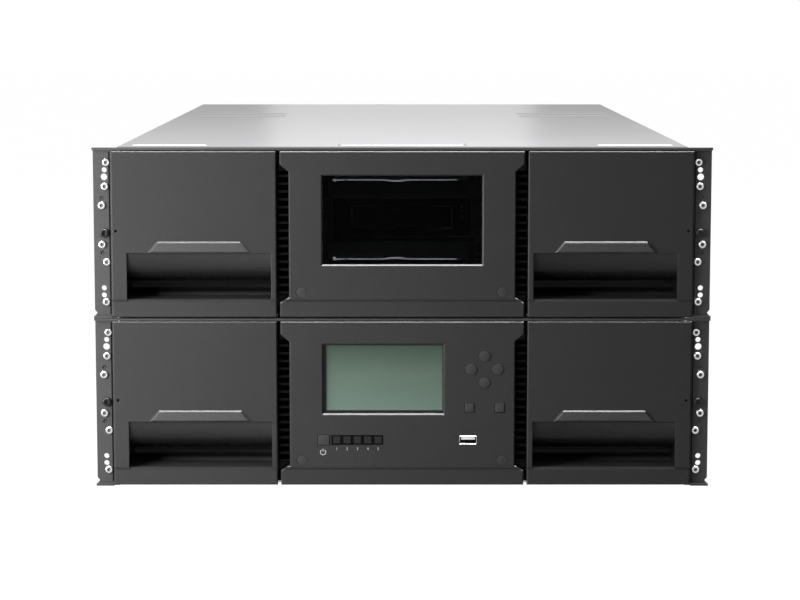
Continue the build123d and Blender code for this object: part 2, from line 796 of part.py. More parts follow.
with BuildPart() as bay_walls:
    for module, base in module_bases.items():
        wall_z = (base + sheet, wall_tops[module] - (0 if module == "lower" else seat_gap))
        web_x = (drive_bay_half_width, drive_bay_half_width + sheet)
        block(web_x, (bulkhead_front, cover_depth - sheet), wall_z)
        fold_x = (drive_bay_half_width, drive_bay_half_width + bay_wall_fold)
        block(fold_x, (bulkhead_front, bulkhead_front + sheet), wall_z)
    mirror(about=Plane.YZ)
save(bay_walls, "bay_walls")

# Lift racks: a toothed bar at each corner of the aisle in each module; a whole number
# of teeth per module keeps them in step across the joint
rack_back = 4.5
rack_addendum = 1.6
rack_dedendum = 2.3
pressure_angle = math.radians(25)
backlash = 0.5
pitch_radius = pinion_teeth * rack_pitch / (2 * math.pi)
rack_half_tooth = rack_pitch / 4 - backlash / 4
front_rack_back = frame_front + sheet
front_pitch_line = front_rack_back + rack_back + rack_dedendum
front_axle = front_pitch_line + pitch_radius
rear_pitch_line = bulkhead_front - rack_back - rack_dedendum
rear_axle = rear_pitch_line - pitch_radius


def rack_outline(back, pitch_line, facing, low, high):
    """Side outline of a rack from low to high, with its teeth facing along Y."""
    root_y = y_at(pitch_line - facing * rack_dedendum)
    tip_y = y_at(pitch_line + facing * rack_addendum)
    root_half = rack_half_tooth + rack_dedendum * math.tan(pressure_angle)
    tip_half = rack_half_tooth - rack_addendum * math.tan(pressure_angle)
    points = [(y_at(back), low), (root_y, low)]
    first_tooth = math.ceil(low / rack_pitch - 0.5 + root_half / rack_pitch)
    last_tooth = math.floor(high / rack_pitch - 0.5 - root_half / rack_pitch)
    for tooth in range(first_tooth, last_tooth + 1):
        middle = (tooth + 0.5) * rack_pitch
        points += [(root_y, middle - root_half), (tip_y, middle - tip_half)]
        points += [(tip_y, middle + tip_half), (root_y, middle + root_half)]
    points += [(root_y, high), (y_at(back), high)]
    return points


with BuildPart() as lift_racks:
    for module, base in module_bases.items():
        rack_low = base + (sheet if module == "lower" else 0)
        rack_high = wall_tops[module] - (0 if module == "lower" else seat_gap)
        for back, pitch_line, facing in (
            (front_rack_back, front_pitch_line, 1),
            (bulkhead_front, rear_pitch_line, -1),
        ):
            with BuildSketch(Plane.YZ.offset(aisle_rack_inner)):
                with BuildLine():
                    Polyline(*rack_outline(back, pitch_line, facing, rack_low, rack_high), close=True)
                make_face()
            extrude(amount=rack_width)
    mirror(about=Plane.YZ)
save(lift_racks, "lift_racks")

# Lift frame: a low frame that carries the picker and climbs the racks; cheeks at its
# corners hold the pinion shafts, and strips along its sides are the picker's rails
robot_base = sheet + robot_rest_gap
axle_height = robot_base + robot_height / 2
shaft_radius = 3.0
cheek_thickness = 4.0
cheek_gap = 2.0
cheek_inner = aisle_rack_inner - cheek_gap - cheek_thickness
outer_cheek = 1.5
cheek_reach = 10.5
post_reach = 24.0
pinion_outer_radius = pitch_radius + rack_addendum
cross_member_height = 3.2
rail_inner = lift_half_width - 14.5
rail_thickness = 1.8
rail_lip_height = 4.2
belt_inner = lift_half_width - 7.0
belt_width = 5.0
belt_gap = 1.0
post_outer = belt_inner - belt_gap
aisle_middle = (front_axle + rear_axle) / 2

with BuildPart() as lift_frame:
    cheek_z = (robot_base, robot_base + robot_height)
    frame_start = front_axle - cheek_reach
    post_end = front_axle + post_reach
    post_start = front_axle + pinion_outer_radius + running_gap + overrun
    block((cheek_inner, cheek_inner + cheek_thickness), (frame_start, post_end), cheek_z)
    block((lift_half_width - outer_cheek, lift_half_width), (frame_start, post_end), cheek_z)
    block((cheek_inner, post_outer), (post_start, post_end), cheek_z)
    low_z = (robot_base, robot_base + rail_thickness)
    block((post_outer, lift_half_width), (frame_start, post_end), low_z)
    member_z = (robot_base, robot_base + cross_member_height)
    block((0, cheek_inner), (frame_start, front_axle + cheek_reach), member_z)
    block((rail_inner, lift_half_width), (post_start, aisle_middle), low_z)
    lip_x = (lift_half_width - outer_cheek, lift_half_width)
    block(lip_x, (post_start, aisle_middle), (robot_base, robot_base + rail_lip_height))
    with BuildSketch(Plane.YZ):
        with Locations((y_at(front_axle), axle_height)):
            Circle(shaft_radius + running_gap)
    extrude(amount=lift_half_width + overrun, mode=Mode.SUBTRACT)
    mirror(about=Plane.YZ)
    mirror(about=Plane.XZ.offset(-y_at(aisle_middle)))
save(lift_frame, "lift_frame")

# Lift shafts: a cross shaft with two pinions and two belt pulleys at the front, and a
# short axle with a pinion and a pulley at each rear corner
pinion_width = 7.0
pinion_start = aisle_rack_inner + (rack_width - pinion_width) / 2
pinion_addendum = 1.75
pinion_dedendum = 2.2
belt_thickness = 1.0
belt_height = 25.3
pulley_teeth = 20
pulley_radius = belt_height / 2 - belt_thickness - slide_gap
axle_end = lift_half_width - slide_gap - seat_gap


def involute(angle):
    """Involute function of a pressure angle."""
    return math.tan(angle) - angle


def pinion_outline(gap_angle):
    """Points of a pinion centred on 0, with the gap between two teeth at an angle."""
    base_radius = pitch_radius * math.cos(pressure_angle)
    pitch_half = math.pi / (2 * pinion_teeth) - backlash / (4 * pitch_radius)
    flank = []
    for radius in (pitch_radius - pinion_dedendum, pitch_radius, pitch_radius + pinion_addendum):
        at_radius = math.acos(min(1, base_radius / radius))
        flank.append((radius, pitch_half + involute(pressure_angle) - involute(at_radius)))
    points = []
    for tooth in range(pinion_teeth):
        middle = gap_angle + (tooth + 0.5) * 2 * math.pi / pinion_teeth
        corners = [(radius, middle - half) for radius, half in flank]
        corners += [(radius, middle + half) for radius, half in reversed(flank)]
        points += [(radius * math.cos(angle), radius * math.sin(angle)) for radius, angle in corners]
    return points


def pinion_shaft(axle_depth, facing, shaft_start):
    """Half of a shaft with a pinion and a pulley, its pinion in mesh at the rest height."""
    nearest_tooth = (math.floor(axle_height / rack_pitch) + 0.5) * rack_pitch
    lag = (axle_height - nearest_tooth) / pitch_radius
    gap_angle = math.pi + lag if facing > 0 else -lag
    with BuildSketch(Plane.YZ.offset(shaft_start)) as shaft:
        with Locations((y_at(axle_depth), axle_height)):
            Circle(shaft_radius)
    extrude(shaft.sketch, amount=axle_end - shaft_start)
    with BuildSketch(Plane.YZ.offset(pinion_start)) as pinion:
        with BuildLine():
            centre = (y_at(axle_depth), axle_height)
            Polyline(*[(centre[0] + y, centre[1] + z) for y, z in pinion_outline(gap_angle)], close=True)
        make_face()
    extrude(pinion.sketch, amount=pinion_width)
    with BuildSketch(Plane.YZ.offset(belt_inner)) as pulley:
        with Locations((y_at(axle_depth), axle_height)):
            RegularPolygon(pulley_radius, pulley_teeth)
    extrude(pulley.sketch, amount=belt_width)


with BuildPart() as front_lift_shaft:
    pinion_shaft(front_axle, 1, 0)
    mirror(about=Plane.YZ)
save(front_lift_shaft, "front_lift_shaft")

with BuildPart() as rear_lift_pinions:
    pinion_shaft(rear_axle, -1, cheek_inner - running_gap)
    mirror(about=Plane.YZ)
save(rear_lift_pinions, "rear_lift_pinions")

# Lift belts: a belt on each side, which turns the rear pinions with the front ones
with BuildPart() as lift_belts:
    with BuildSketch(Plane.YZ.offset(belt_inner)):
        with Locations((y_at(aisle_middle), axle_height)):
            SlotCenterToCenter(rear_axle - front_axle, belt_height)
            SlotCenterToCenter(rear_axle - front_axle, belt_height - 2 * belt_thickness, mode=Mode.SUBTRACT)
    extrude(amount=belt_width)
    mirror(about=Plane.YZ)
save(lift_belts, "lift_belts")

# Lift motor: a gearmotor around the front shaft, standing on the cross member
motor_radius = 9.5
motor_length = 42.0
motor_foot_width = 13.0
motor_gap = 4.0
motor_start = motor_gap - cheek_inner

with BuildPart() as lift_motor:
    with BuildSketch(Plane.YZ.offset(motor_start)):
        with Locations((y_at(front_axle), axle_height)):
            Circle(motor_radius)
        foot_z = (robot_base + cross_member_height, axle_height)
        span_rectangle(around(y_at(front_axle), motor_foot_width), foot_z)
        with Locations((y_at(front_axle), axle_height)):
            Circle(shaft_radius + slide_gap, mode=Mode.SUBTRACT)
    extrude(amount=motor_length)
save(lift_motor, "lift_motor")

# Picker carriage: the plate that runs along the rails, with the turntable's bearing hole
carriage_length = 120.0
carriage_thickness = 1.4
pivot_radius = 8.0
carriage_bottom = robot_base + rail_thickness + seat_gap
carriage_top = carriage_bottom + carriage_thickness
picker_bottom = carriage_top + seat_gap

with BuildPart() as picker_carriage:
    with BuildSketch(Plane.XY.offset(carriage_bottom)):
        with Locations((0, y_at(first_column_depth))):
            Rectangle(2 * post_outer, carriage_length)
            Circle(pivot_radius, mode=Mode.SUBTRACT)
    extrude(amount=carriage_thickness)
save(picker_carriage, "picker_carriage")

# Picker: an open tray that takes one cartridge and turns on the carriage
picker_floor = 0.8
picker_inner_half = cartridge_width / 2 + 2.0
picker_wall = 3.0
picker_length = cartridge_length + 12.6
picker_top = robot_base + robot_height - overrun

with BuildPart() as picker:
    with BuildSketch(Plane.XY.offset(picker_bottom)):
        with Locations((0, y_at(first_column_depth))):
            Rectangle(2 * (picker_inner_half + picker_wall), picker_length)
    extrude(amount=picker_top - picker_bottom)
    inner_x = (-picker_inner_half, picker_inner_half)
    inner_depth = around(first_column_depth, picker_length + 2 * overrun)
    block(inner_x, inner_depth, (picker_bottom + picker_floor, picker_top + overrun), Mode.SUBTRACT)
    with BuildSketch(Plane.XY.offset(carriage_bottom)):
        with Locations((0, y_at(first_column_depth))):
            Circle(pivot_radius - running_gap)
    extrude(amount=picker_bottom - carriage_bottom)
save(picker, "picker")

# Gripper: a slide with two fingers that reach along the cartridge's sides
finger_thickness = 1.3
finger_low = 9.0
finger_high = 17.0
gripper_depth = 10.0
gripper_length = cartridge_length + 2.6
gripper_half = picker_inner_half - slide_gap
gripper_bottom = picker_bottom + picker_floor + seat_gap
gripper_back = first_column_depth - picker_length / 2 + picker_wall

with BuildPart() as gripper:
    slide_span = (gripper_back, gripper_back + gripper_depth)
    block((-gripper_half, gripper_half), slide_span, (gripper_bottom, picker_top - 2 * picker_wall))
    for sign in side_signs.values():
        finger_x = handed(sign, gripper_half - finger_thickness, gripper_half)
        finger_z = (robot_base + finger_low, robot_base + finger_high)
        block(finger_x, (gripper_back, gripper_back + gripper_length), finger_z)
save(gripper, "gripper")

# Tape drives: half-height drives in sleds, which slide into the drive bays from the
# rear; each has a cartridge mouth at its front, and a plate, ports and a pull handle
bay_height = 42.0
bay_bottom = 4.7
plate_gap = 0.4
drive_front = bulkhead_front + 11.5
drive_half_width = drive_bay_half_width - 3.0
drive_plate_half = drive_bay_half_width + 4.5
plate_thickness = 1.5
mouth_half_width = cartridge_width / 2 + 1.0
mouth_height = cartridge_height + 1.5
mouth_depth = 90.0
handle_width = 30.0
handle_height = 12.0
handle_bar = 3.0
drive_handle_x = -46.0
drive_port_width = 22.0
drive_port_height = 9.0
drive_port_depth = 8.0
drive_port_x = 20.0
bay_count = int((module_height - bay_bottom) / bay_height)
drive_bays = {"lower_drive_1": 0, "lower_drive_2": bay_height, "upper_drive": module_height}


def pull_handle(x, z):
    """Pull handle on a rear plate: a bar on two legs."""
    plate_face = cover_depth + plate_thickness
    outer = (plate_face, cover_depth + rear_reach)
    block(around(x, handle_width), outer, around(z, handle_height))
    inner = (plate_face, cover_depth + rear_reach - handle_bar)
    block(around(x, handle_width - 2 * handle_bar), inner, around(z, handle_height + overrun), Mode.SUBTRACT)


for node, bay in drive_bays.items():
    with BuildPart() as drive:
        drive_z = (bay + bay_bottom + plate_gap, bay + bay_bottom + bay_height - plate_gap)
        drive_middle = (drive_z[0] + drive_z[1]) / 2
        case_z = (drive_z[0] + plate_gap, drive_z[1] - plate_gap)
        block((-drive_half_width, drive_half_width), (drive_front, cover_depth), case_z)
        block((-drive_plate_half, drive_plate_half), (cover_depth, cover_depth + plate_thickness), drive_z)
        mouth_x = (-mouth_half_width, mouth_half_width)
        mouth_depths = (drive_front - overrun, drive_front + mouth_depth)
        block(mouth_x, mouth_depths, around(drive_middle, mouth_height), Mode.SUBTRACT)
        plate_face = cover_depth + plate_thickness
        port_depths = (plate_face - drive_port_depth, plate_face + overrun)
        port_z_span = around(drive_middle, drive_port_height)
        block(around(drive_port_x, drive_port_width), port_depths, port_z_span, Mode.SUBTRACT)
        pull_handle(drive_handle_x, drive_middle)
    save(drive, node)

# Power supplies: a case in each module's rear bay with a mains inlet, a pull handle and
# a fan behind a guard
supply_width = 100.0
supply_side_gap = 13.5
supply_x = (wall_inner - supply_side_gap - supply_width, wall_inner - supply_side_gap)
supply_z = (10.0, 72.0)
supply_front = bulkhead_front + 35.5
supply_plate_rim = 2.5
fan_x = supply_x[0] + 32.0
fan_radius = 25.0
fan_recess = 18.0
fan_pin_radius = 2.5
guard_hub_radius = 9.0
guard_bar = 2.0
inlet_x = supply_x[1] - 21.0
inlet_z_share = 0.3
inlet_width = 27.0
inlet_height = 19.0
inlet_depth = 15.0
supply_handle_z_share = 0.72

for module, base in module_bases.items():
    with BuildPart() as power_supply:
        case_z = (base + supply_z[0], base + supply_z[1])
        block(supply_x, (supply_front, cover_depth), case_z)
        plate_x = (supply_x[0] - supply_plate_rim, supply_x[1] + supply_plate_rim)
        plate_z = (case_z[0] - supply_plate_rim, case_z[1] + supply_plate_rim)
        block(plate_x, (cover_depth, cover_depth + plate_thickness), plate_z)
        plate_face = cover_depth + plate_thickness
        fan_z = (case_z[0] + case_z[1]) / 2
        with BuildSketch(front_plane(cover_depth)):
            with Locations((fan_x, fan_z)):
                Circle(fan_radius)
        extrude(amount=fan_recess, mode=Mode.SUBTRACT)
        with BuildSketch(front_plane(cover_depth)):
            with Locations((fan_x, fan_z)):
                Circle(fan_radius)
                Circle(guard_hub_radius, mode=Mode.SUBTRACT)
                Rectangle(2 * fan_radius, guard_bar, mode=Mode.SUBTRACT)
                Rectangle(guard_bar, 2 * fan_radius, mode=Mode.SUBTRACT)
        extrude(amount=-plate_thickness, mode=Mode.SUBTRACT)
        with BuildSketch(front_plane(cover_depth - fan_recess)):
            with Locations((fan_x, fan_z)):
                Circle(fan_pin_radius)
        extrude(amount=-fan_recess)
        inlet_z = case_z[0] + (case_z[1] - case_z[0]) * inlet_z_share
        inlet_depths = (plate_face - inlet_depth, plate_face + overrun)
        block(around(inlet_x, inlet_width), inlet_depths, around(inlet_z, inlet_height), Mode.SUBTRACT)
        pull_handle(inlet_x, case_z[0] + (case_z[1] - case_z[0]) * supply_handle_z_share)
    save(power_supply, f"{module}_power_supply")

# Fan rotors: a hub with pitched blades on the pin in each power supply
blade_count = 7
fan_hub_radius = 8.5
fan_hub_sides = 2 * blade_count
blade_tip_gap = 1.2
blade_length = 12.0
blade_thickness = 1.2
blade_pitch_angle = 35.0
rotor_inset = 3.0

for module, base in module_bases.items():
    rotor_y = y_at(cover_depth - rotor_inset - blade_length / 2)
    rotor_middle = (fan_x, rotor_y, base + (supply_z[0] + supply_z[1]) / 2)
    with BuildPart(Plane(rotor_middle, x_dir=(1, 0, 0), z_dir=(0, -1, 0))) as fan_rotor:
        with BuildSketch(Plane(rotor_middle, x_dir=(1, 0, 0), z_dir=(0, -1, 0))):
            RegularPolygon(fan_hub_radius, fan_hub_sides)
        extrude(amount=blade_length / 2, both=True)
        with PolarLocations(0, blade_count):
            Box(
                fan_radius - blade_tip_gap,
                blade_thickness,
                blade_length,
                rotation=(blade_pitch_angle, 0, 0),
                align=(Align.MIN, Align.CENTER, Align.CENTER),
            )
        Cylinder(fan_pin_radius + running_gap, blade_length, mode=Mode.SUBTRACT)
    save(fan_rotor, f"{module}_fan_rotor")

# Controller card: a board on a rear plate in the lower module, with two network ports
card_x = (-supply_x[1], -supply_x[0])
card_z = (10.0, 40.0)
card_front = bulkhead_front + 95.5
card_board_z = 16.0
card_thickness = 1.6
card_port_width = 16.0
card_port_height = 13.5
card_port_depth = 18.0
card_port_wall = 1.5
card_port_shares = (0.2, 0.42)

with BuildPart() as controller_card:
    block(card_x, (card_front, cover_depth), (card_board_z, card_board_z + card_thickness))
    card_plate_x = (card_x[0] - supply_plate_rim, card_x[1] + supply_plate_rim)
    card_plate_z = (card_z[0] - supply_plate_rim, card_z[1] + supply_plate_rim)
    block(card_plate_x, (cover_depth, cover_depth + plate_thickness), card_plate_z)
    for share in card_port_shares:
        port_middle = card_x[0] + share * (card_x[1] - card_x[0])
        port_z = (card_board_z + card_thickness, card_board_z + card_thickness + card_port_height)
        block(around(port_middle, card_port_width), (cover_depth - card_port_depth, cover_depth), port_z)
        hollow_z = (port_z[0] + card_port_wall, port_z[1] - card_port_wall)
        hollow_front = cover_depth - card_port_depth + card_port_wall
        hollow_depths = (hollow_front, cover_depth + plate_thickness + overrun)
        hollow_x = around(port_middle, card_port_width - 2 * card_port_wall)
        block(hollow_x, hollow_depths, hollow_z, Mode.SUBTRACT)
    pull_handle(card_x[1] - handle_width, (card_z[0] + card_z[1]) / 2)
save(controller_card, "controller_card")

# Rear panels: a sheet across the back of each module with openings for the drive bays,
# the power supply and the card, and a field of vent slots
vent_slot_width = 18.0
vent_slot_height = 4.0
vent_pitch_x = 23.0
vent_pitch_z = 9.0
vent_columns = 4
vent_rows = 4
vent_bottom_share = 0.64

for module, base in module_bases.items():
    with BuildPart() as rear_panel:
        with BuildSketch(front_plane(cover_depth - sheet)):
            span_rectangle((-wall_outer, wall_outer), (base, wall_tops[module]))
            bays_z = (base + bay_bottom, base + bay_bottom + bay_count * bay_height)
            span_rectangle((-drive_bay_half_width, drive_bay_half_width), bays_z, Mode.SUBTRACT)
            supply_hole_x = (supply_x[0] - plate_gap, supply_x[1] + plate_gap)
            supply_hole_z = (base + supply_z[0] - plate_gap, base + supply_z[1] + plate_gap)
            span_rectangle(supply_hole_x, supply_hole_z, Mode.SUBTRACT)
            card_hole_x = (card_x[0] - plate_gap, card_x[1] + plate_gap)
            card_hole_z = (base + card_z[0] - plate_gap, base + card_z[1] + plate_gap)
            span_rectangle(card_hole_x, card_hole_z, Mode.SUBTRACT)
            vent_middle_z = base + vent_bottom_share * module_height + vent_rows * vent_pitch_z / 2
            for sign in side_signs.values():
                with Locations((sign * (supply_x[0] + supply_x[1]) / 2, vent_middle_z)):
                    with GridLocations(vent_pitch_x, vent_pitch_z, vent_columns, vent_rows):
                        Rectangle(vent_slot_width, vent_slot_height, mode=Mode.SUBTRACT)
        extrude(amount=-sheet)
    save(rear_panel, f"{module}_rear_panel")

# Blank covers: plates over the drive bays and the card opening that are not in use
with BuildPart() as blank_covers:
    plate_depths = (cover_depth, cover_depth + plate_thickness)
    lower_blanks = [bay * bay_height for bay in range(2, bay_count)]
    upper_blanks = [module_height + bay * bay_height for bay in range(1, bay_count)]
    for blank_bottom in lower_blanks + upper_blanks:
        blank_z = (blank_bottom + bay_bottom + plate_gap, blank_bottom + bay_bottom + bay_height - plate_gap)
        block((-drive_plate_half, drive_plate_half), plate_depths, blank_z)
    block(card_plate_x, plate_depths, (module_height + card_plate_z[0], module_height + card_plate_z[1]))
save(blank_covers, "blank_covers")
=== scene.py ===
import math

import bmesh
import bpy
import numpy as np
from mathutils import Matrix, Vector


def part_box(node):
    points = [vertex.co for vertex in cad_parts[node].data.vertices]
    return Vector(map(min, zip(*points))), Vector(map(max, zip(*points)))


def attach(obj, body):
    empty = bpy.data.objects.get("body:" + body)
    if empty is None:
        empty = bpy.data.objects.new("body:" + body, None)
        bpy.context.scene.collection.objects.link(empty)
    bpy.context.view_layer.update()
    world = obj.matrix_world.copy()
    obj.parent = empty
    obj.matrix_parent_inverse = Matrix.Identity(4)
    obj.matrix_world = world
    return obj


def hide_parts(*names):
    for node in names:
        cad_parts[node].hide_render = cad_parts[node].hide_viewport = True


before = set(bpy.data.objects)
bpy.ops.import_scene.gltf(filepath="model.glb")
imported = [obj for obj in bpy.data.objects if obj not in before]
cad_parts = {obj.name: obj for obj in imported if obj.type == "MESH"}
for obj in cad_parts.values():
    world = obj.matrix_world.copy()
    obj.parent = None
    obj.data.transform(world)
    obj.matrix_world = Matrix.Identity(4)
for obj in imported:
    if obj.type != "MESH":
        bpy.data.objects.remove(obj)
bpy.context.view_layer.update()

# Camera: a long lens straight in front of the library, a little above it and looking
# down on it, far enough away that the rear of the top cover still shows.
front_y = -0.4452
camera_distance = 1.861
camera_height = 0.375
camera_side = -0.0018
camera_tilt = math.radians(6.96)
focal_pixels = 2398.0
picture_width = 800


def new_object(name, data):
    """Object that shows this data, put in the scene."""
    item = bpy.data.objects.new(name, data)
    bpy.context.collection.objects.link(item)
    return item


camera = new_object("camera", bpy.data.cameras.new("camera"))
camera.data.sensor_width = 36.0
camera.data.lens = camera.data.sensor_width * focal_pixels / picture_width
camera.location = (camera_side, front_y - camera_distance, camera_height)
camera.rotation_euler = (math.pi / 2 - camera_tilt, 0, 0)
bpy.context.scene.camera = camera
bpy.context.scene.view_settings.view_transform = "Standard"

# Studio: a white floor and surroundings. A soft lamp close in front on the left makes the
# dark faces fade to the right, and a long strip overhead draws the lines on their bevels.
floor_half = 12.0
floor_white = (0.6, 0.6, 0.6, 1)
floor_glow_share = 0.9
floor_glow_strength = 1.1
world_light = 0.07
white = (1, 1, 1, 1)


def add_node(tree, kind, inputs=None, **settings):
    """New shader node; inputs maps a socket's name or number to a value or another node's socket."""
    node = tree.nodes.new("ShaderNode" + kind)
    for key, value in settings.items():
        setattr(node, key, value)
    for key, value in (inputs or {}).items():
        if isinstance(value, bpy.types.NodeSocket):
            tree.links.new(value, node.inputs[key])
        else:
            node.inputs[key].default_value = value
    return node


def maths(tree, operation, *values):
    """Socket with the result of an operation on values or other nodes' sockets."""
    return add_node(tree, "Math", dict(enumerate(values)), operation=operation).outputs[0]


def seen_directly(tree):
    """Socket that is 1 for camera, glossy and transmission rays and 0 for the light on the object."""
    rays = add_node(tree, "LightPath").outputs
    either = maths(tree, "MAXIMUM", rays["Is Camera Ray"], rays["Is Glossy Ray"])
    return maths(tree, "MAXIMUM", either, rays["Is Transmission Ray"])


world = bpy.data.worlds.new("studio")
bpy.context.scene.world = world
world.use_nodes = True
sky = world.node_tree
sky.nodes.clear()
soft_sky = add_node(sky, "Background", {"Color": white, "Strength": world_light})
white_sky = add_node(sky, "Background", {"Color": white, "Strength": 1.0})
sky_inputs = {0: seen_directly(sky), 1: soft_sky.outputs[0], 2: white_sky.outputs[0]}
sky_mix = add_node(sky, "MixShader", sky_inputs)
add_node(sky, "OutputWorld", {"Surface": sky_mix.outputs[0]})

floor_mesh = bpy.data.meshes.new("studio_floor")
floor_corners = [(x * floor_half, y * floor_half, 0) for x, y in ((-1, -1), (1, -1), (1, 1), (-1, 1))]
floor_mesh.from_pydata(floor_corners, [], [(0, 1, 2, 3)])
floor_paint = bpy.data.materials.new("studio_floor")
floor_paint.use_nodes = True
paint = floor_paint.node_tree
paint.nodes.clear()
matt = add_node(paint, "BsdfDiffuse", {"Color": floor_white})
glow = add_node(paint, "Emission", {"Color": white, "Strength": floor_glow_strength})
glow_share = maths(paint, "MULTIPLY", seen_directly(paint), floor_glow_share)
floor_mix = add_node(paint, "MixShader", {0: glow_share, 1: matt.outputs[0], 2: glow.outputs[0]})
add_node(paint, "OutputMaterial", {"Surface": floor_mix.outputs[0]})
floor_mesh.materials.append(floor_paint)
new_object("studio_floor", floor_mesh)


def add_lamp(name, place, target, size, power, unseen_by=()):
    """Rectangular soft lamp at a place, turned to face a target, and unseen by some kinds of ray."""
    data = bpy.data.lights.new(name, "AREA")
    data.shape = "RECTANGLE"
    data.size, data.size_y = size
    data.energy = power
    lamp = new_object(name, data)
    lamp.location = place
    direction = np.array(target) - np.array(place)
    across = math.hypot(direction[0], direction[1])
    lamp.rotation_euler = (math.atan2(across, -direction[2]), 0, math.atan2(-direction[0], direction[1]))
    for ray in unseen_by:
        setattr(lamp, f"visible_{ray}", False)


add_lamp("key_lamp", (-0.61, front_y - 0.33, 0.26), (-0.1, front_y, 0.13), (0.4, 0.5), 11.5)
add_lamp("overhead_lamp", (0.0, 0.1, 2.2), (0, 0.1, 0), (1.6, 1.6), 6.0)
add_lamp("rear_lamp", (1.5, 1.7, 0.9), (0, 0.4, 0.13), (0.9, 0.9), 5.0)
add_lamp("cover_glow", (0, 5.0, 0.6), (0, 0, 0.27), (0.8, 0.5), 3.2, ("camera", "diffuse"))
add_lamp("bevel_strip", (0, front_y - 0.15, 1.45), (0, front_y - 0.15, 0), (2.6, 0.3), 330.0, ("diffuse",))

# Front covers: satin charcoal mouldings, the four magazine bezels and the two centre
# panels, with the fine spark-eroded grain of their tool and softly rounded edges. Their
# colour carries painted shade that deepens with depth behind the front face, as in the
# pockets, but not on faces that look up; a painted highlight on the thumb pads in front of
# the face; and painted shade in a band at the height of each pocket's lower lip. From here
# on sizes are in millimetres.
millimetre = 0.001
module_height = 133.35
module_bases = {"lower": 0.0, "upper": module_height}
neutral = (0.5, 0.5, 0.5, 1)
# Painted light and shade on the front covers: the depth over which their colour changes, and the band at
# each pocket's lower lip that gets painted shade.
shade_near = front_y - 0.002
shade_far = front_y + 0.014
upward_from, upward_full = 0.6, 0.9
lip_height = 13.9
lip_reach = 1.0
lip_roughness = 0.9
lip_painted_shade = 0.55


def new_group(name, inputs, outputs):
    """Shader node group with typed sockets; returns it, what it is given and what it gives out."""
    group = bpy.data.node_groups.new(name, "ShaderNodeTree")
    for socket_name, kind, value in inputs:
        socket = group.interface.new_socket(socket_name, in_out="INPUT", socket_type="NodeSocket" + kind)
        socket.default_value = value
    for socket_name, kind in outputs:
        group.interface.new_socket(socket_name, in_out="OUTPUT", socket_type="NodeSocket" + kind)
    return group, group.nodes.new("NodeGroupInput").outputs, group.nodes.new("NodeGroupOutput").inputs


def ranged(tree, value, low, high, start=0.0, end=1.0):
    """Value from start to end, spread between low and high."""
    inputs = {"Value": value, "From Min": start, "From Max": end, "To Min": low, "To Max": high}
    return add_node(tree, "MapRange", inputs).outputs[0]


def tinted(tree, colour, strength):
    """Colour made lighter or darker by a strength that varies about 1."""
    return add_node(tree, "VectorMath", {0: colour, "Scale": strength}, operation="SCALE").outputs[0]


def feed(tree, outputs, sockets, names):
    """Links outputs to sockets, by pairs of their names."""
    for output, socket in names.items():
        tree.links.new(outputs[output], sockets[socket])


def finish_group(name, grain_detail, cloud_scale, low, high):
    """Group of a grained finish: clouded colour and roughness, and a fine bump that can be stretched."""
    inputs = (("Colour", "Color", neutral), ("Roughness", "Float", 0.5), ("Roughness Spread", "Float", 0.1),
              ("Grain", "Float", 1500.0), ("Stretch", "Vector", (1.0, 1.0, 1.0)), ("Relief", "Float", 0.2))
    outputs = (("Colour", "Color"), ("Roughness", "Float"), ("Normal", "Vector"))
    group, given, made = new_group(name, inputs, outputs)
    place = add_node(group, "TexCoord").outputs["Object"]
    drawn_out = add_node(group, "VectorMath", {0: place, 1: given["Stretch"]}, operation="MULTIPLY")
    cloud = add_node(group, "TexNoise", {"Vector": place, "Scale": cloud_scale, "Detail": 4.0}).outputs[0]
    grain_inputs = {"Vector": drawn_out.outputs[0], "Scale": given["Grain"], "Detail": grain_detail}
    grain = add_node(group, "TexNoise", grain_inputs).outputs[0]
    flecks = maths(group, "MULTIPLY", ranged(group, cloud, low, high), ranged(group, grain, low, high))
    group.links.new(tinted(group, given["Colour"], flecks), made["Colour"])
    centred = maths(group, "SUBTRACT", maths(group, "ADD", cloud, grain), 1.0)
    rough = maths(group, "MULTIPLY_ADD", centred, given["Roughness Spread"], given["Roughness"])
    group.links.new(rough, made["Roughness"])
    bump = add_node(group, "Bump", {"Strength": given["Relief"], "Distance": 0.0002, "Height": grain})
    group.links.new(bump.outputs[0], made["Normal"])
    return group


moulded_finish = finish_group("moulded_finish", 2.0, 14.0, 0.94, 1.06)


def new_material(name, values):
    """Material with plain values on its shader; returns it, its node tree and the shader's sockets."""
    material = bpy.data.materials.new(name)
    material.use_nodes = True
    sockets = material.node_tree.nodes["Principled BSDF"].inputs
    for key, value in values.items():
        sockets[key].default_value = value
    return material, material.node_tree, sockets


def finished(name, colour, roughness, gloss=0.5, metallic=0.0, grain=1500.0, stretch=(1, 1, 1),
             relief=0.2, spread=0.1, group=moulded_finish):
    """Material whose colour, roughness and normal come from a finish group, fed with its own values."""
    material, tree, sockets = new_material(name, {"Metallic": metallic, "Specular IOR Level": gloss})
    values = {"Colour": (*colour, 1), "Roughness": roughness, "Grain": grain, "Stretch": stretch,
              "Relief": relief, "Roughness Spread": spread}
    finish = add_node(tree, "Group", node_tree=group, name="finish")
    for key, value in values.items():
        finish.inputs[key].default_value = value
    names = {"Colour": "Base Color", "Roughness": "Roughness", "Normal": "Normal"}
    feed(tree, finish.outputs, sockets, names)
    return material


def modify(piece, kind, **settings):
    """Adds a modifier with its settings to a piece."""
    modifier = piece.modifiers.new(kind.lower(), kind)
    for key, value in settings.items():
        setattr(modifier, key, value)


def dress(nodes, material, edge=0.0):
    """Gives CAD nodes their material and, where edge isn't 0, rounds their sharp edges by that much."""
    for piece in [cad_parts[node] for node in nodes]:
        for slot in piece.material_slots:
            slot.material = material
        if edge:
            modify(piece, "WELD", merge_threshold=1e-6)
            modify(piece, "DECIMATE", decimate_type="DISSOLVE", angle_limit=math.radians(0.5))
            modify(piece, "BEVEL", width=edge * millimetre, segments=2, limit_method="ANGLE",
                   angle_limit=math.radians(28), use_clamp_overlap=True)


